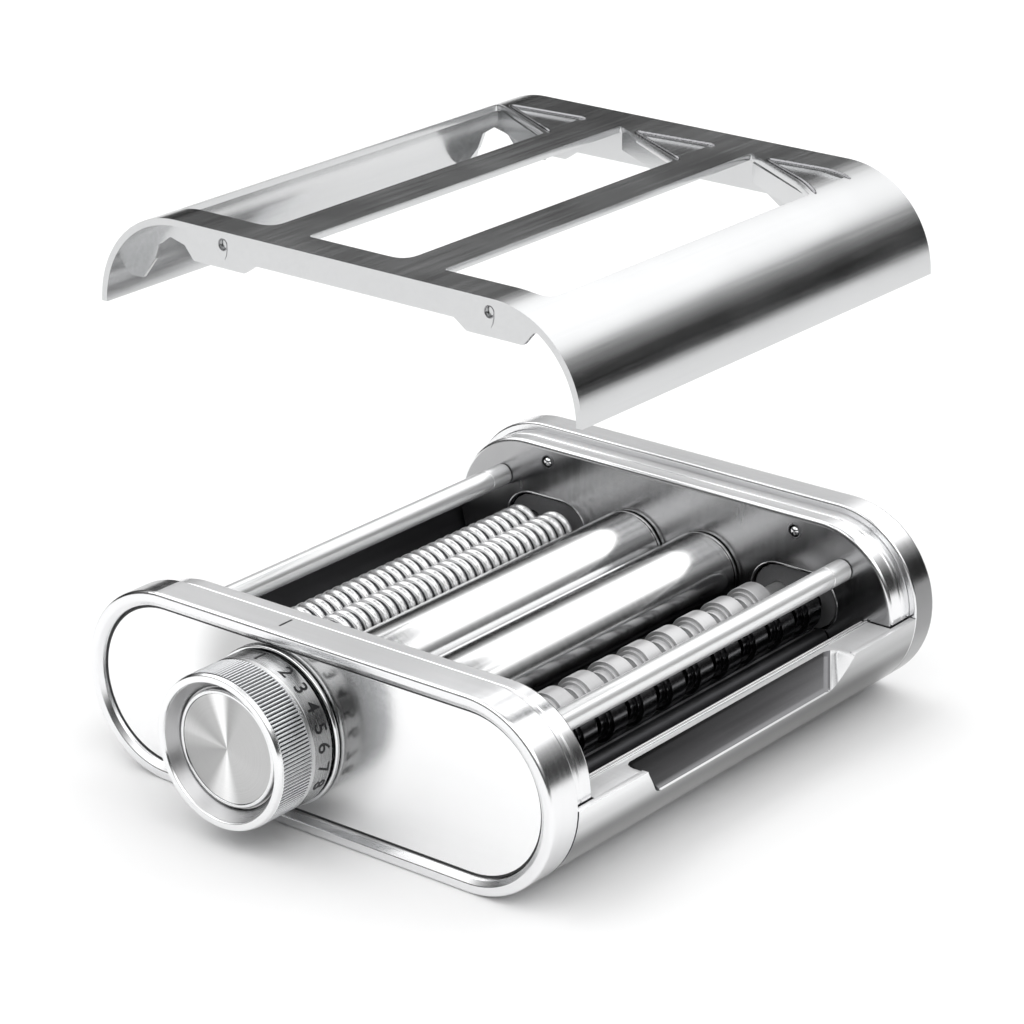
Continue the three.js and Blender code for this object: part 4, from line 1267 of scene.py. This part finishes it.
def cover_end_walls():
    """Wall that turns down at each slot's slanted end."""
    for i, (low, high) in enumerate(SLOTS):
        a, b = Vector((low + 0.8, SLOT_SLANT - 0.6)), Vector((high - 0.5, SLOT_REAR + 0.6))
        normal = Vector((a.y - b.y, b.x - a.x)).normalized()
        corners = [a, b, b + normal * 1.0, a + normal * 1.0]
        top = min(cover_top(low), cover_top(high)) - SHEET * 0.5
        wall = prism(f"cover_slot_wall_{i + 1}", [tuple(c) for c in corners], top - END_WALL, top,
                     "Z", COVER_STEEL, COVER_FRAME)
        soften(wall, 0.3, 3)
        piece(smooth(wall), "cover", "satin_steel")


def cover_dimples():
    """Pressed ring with a tail under it, where each ball snaps into the flange."""
    for end, face, outward in PLATE_FACES:
        y = face - outward * (FLANGE_GAP + 0.1)
        for name, side in SIDES:
            x, z = side * BALL_X, BALL.z
            arc = [radians(350 * i / 30) for i in range(31)]
            path = [(x + 1.6 * cos(a), y, z + 1.7 * sin(a)) for a in arc[::-1]]
            path += [(x + across, y, z + up) for across, up in DIMPLE_TAIL]
            label = f"cover_dimple_{end}_{name}"
            piece(path_tube(label, path, 0.22, DARK_STEEL, COVER_FRAME, 8, (0, 1, 0)), "cover", "satin_steel")


SPRING = SimpleNamespace(turns=3, r=4.4, wire=0.35, y0=-15.2, y1=-11.6, keep=0.36)


def knob_spring():
    """Return spring in the knob's hollow, on a mesh of its own. The real spring shortens as the knob is
    pulled.
    """
    steps = SPRING.turns * 32
    path = []
    for i in range(steps + 1):
        angle = 2 * pi * SPRING.turns * i / steps
        y = SPRING.y0 + (SPRING.y1 - SPRING.y0) * i / steps
        path.append((KNOB_X + SPRING.r * cos(angle), y, SPRING.r * sin(angle)))
    spring = path_tube("spring_knob", path, SPRING.wire, GEAR_STEEL, BODY_FRAME, 12, (0, 1, 0))
    piece(spring, "dial", "gear_steel", "knob_spring")
    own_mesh(spring)


# ---------- carried-over CAD nodes ----------


def carried_over():
    """Better finish for the inner CAD parts whose shape stays as it is."""
    slots = {
        "gear_steel": GEAR_STEEL,
        "bronze": BRONZE,
        "bearing_plastic": BEARING,
        "satin_steel": SATIN,
        "dark_steel": DARK_STEEL,
        "polished_steel": POLISHED,
    }
    finish_of = {p["node"]: slots[p["material_slot"]] for p in frame["record"]["subparts"]}
    for name, obj in frame["nodes"].items():
        obj.data.materials.clear()
        obj.data.materials.append(finish_of[name])


# ---------- stage ----------

FLOOR_HALF = 6.0
CAMERA_AT = Vector((0.6276, -0.8030, 0.4706))
CAMERA_TURN = 38.374
CAMERA_DOWN = 21.568
CAMERA_LENS = 128.51


def camera():
    data = bpy.data.cameras.new("camera")
    data.lens = CAMERA_LENS
    data.sensor_width = 36
    data.clip_end = 50
    obj = new_object("camera", data)
    obj.location = CAMERA_AT
    obj.rotation_euler = (radians(90 - CAMERA_DOWN), 0, radians(CAMERA_TURN))
    bpy.context.scene.camera = obj


def floor():
    """Plain pale floor."""
    material = bpy.data.materials.new("floor")
    tree, shader = nodes_of(material)
    shade = remap(tree, noise(tree, 3.0, 2.0), 0.0, 1.0)
    colour = tint(tree, shade, (0.90, 0.90, 0.90), (0.93, 0.93, 0.93))
    set_inputs(tree, shader, {"Base Color": colour, "Roughness": 0.9})
    mesh = bpy.data.meshes.new("floor")
    h = FLOOR_HALF
    mesh.from_pydata([(-h, -h, 0), (h, -h, 0), (h, h, 0), (-h, h, 0)], [], [(0, 1, 2, 3)])
    mesh.materials.append(material)
    new_object("floor", mesh)


# Angle over the horizon, and how bright the room is there.
SKY = (
    (-90, 0.9), (-1, 0.6), (3, 0.02), (15, 0.03), (27, 0.35), (34, 1.7), (62, 1.9), (80, 0.9), (90, 0.8),
)


def sky():
    """Studio tent: a wide soft box overhead, darker towards the horizon."""
    world = bpy.data.worlds.new("studio")
    bpy.context.scene.world = world
    world.use_nodes = True
    tree = world.node_tree
    way = split_vector(tree, tree.nodes.new("ShaderNodeTexCoord").outputs["Generated"])
    height = calculate(tree, "DEGREES", calculate(tree, "ARCSINE", way["Z"]))
    brightest = max(level for _, level in SKY)
    stops = [(at, level / brightest) for at, level in SKY]
    colour = ramp_of(tree, height, -90, 90, stops)
    set_inputs(tree, tree.nodes["Background"], {"Strength": brightest, "Color": colour})


# ---------- build ----------

camera()
carried_over()
front_ring()
front_panel()
panel_seam()
pointer_mark()
plate("plate_front", "front_plate", Y_FRONT_FACE, -1)
plate("plate_rear", "rear_plate", Y_REAR_FACE, 1)
opening_rims()
detent_balls()
rear_cap()
cap_screws()
drive_hub()
drive_shaft()
lower_shell()
shell_folds()
rods()
rollers()
base_ring()
dial_drum()
dial_digits()
knob_grip()
knob_cap()
cover()
cover_beads()
cover_end_walls()
cover_dimples()
knob_spring()
floor()
sky()
bpy.context.scene.view_settings.view_transform = "Standard"
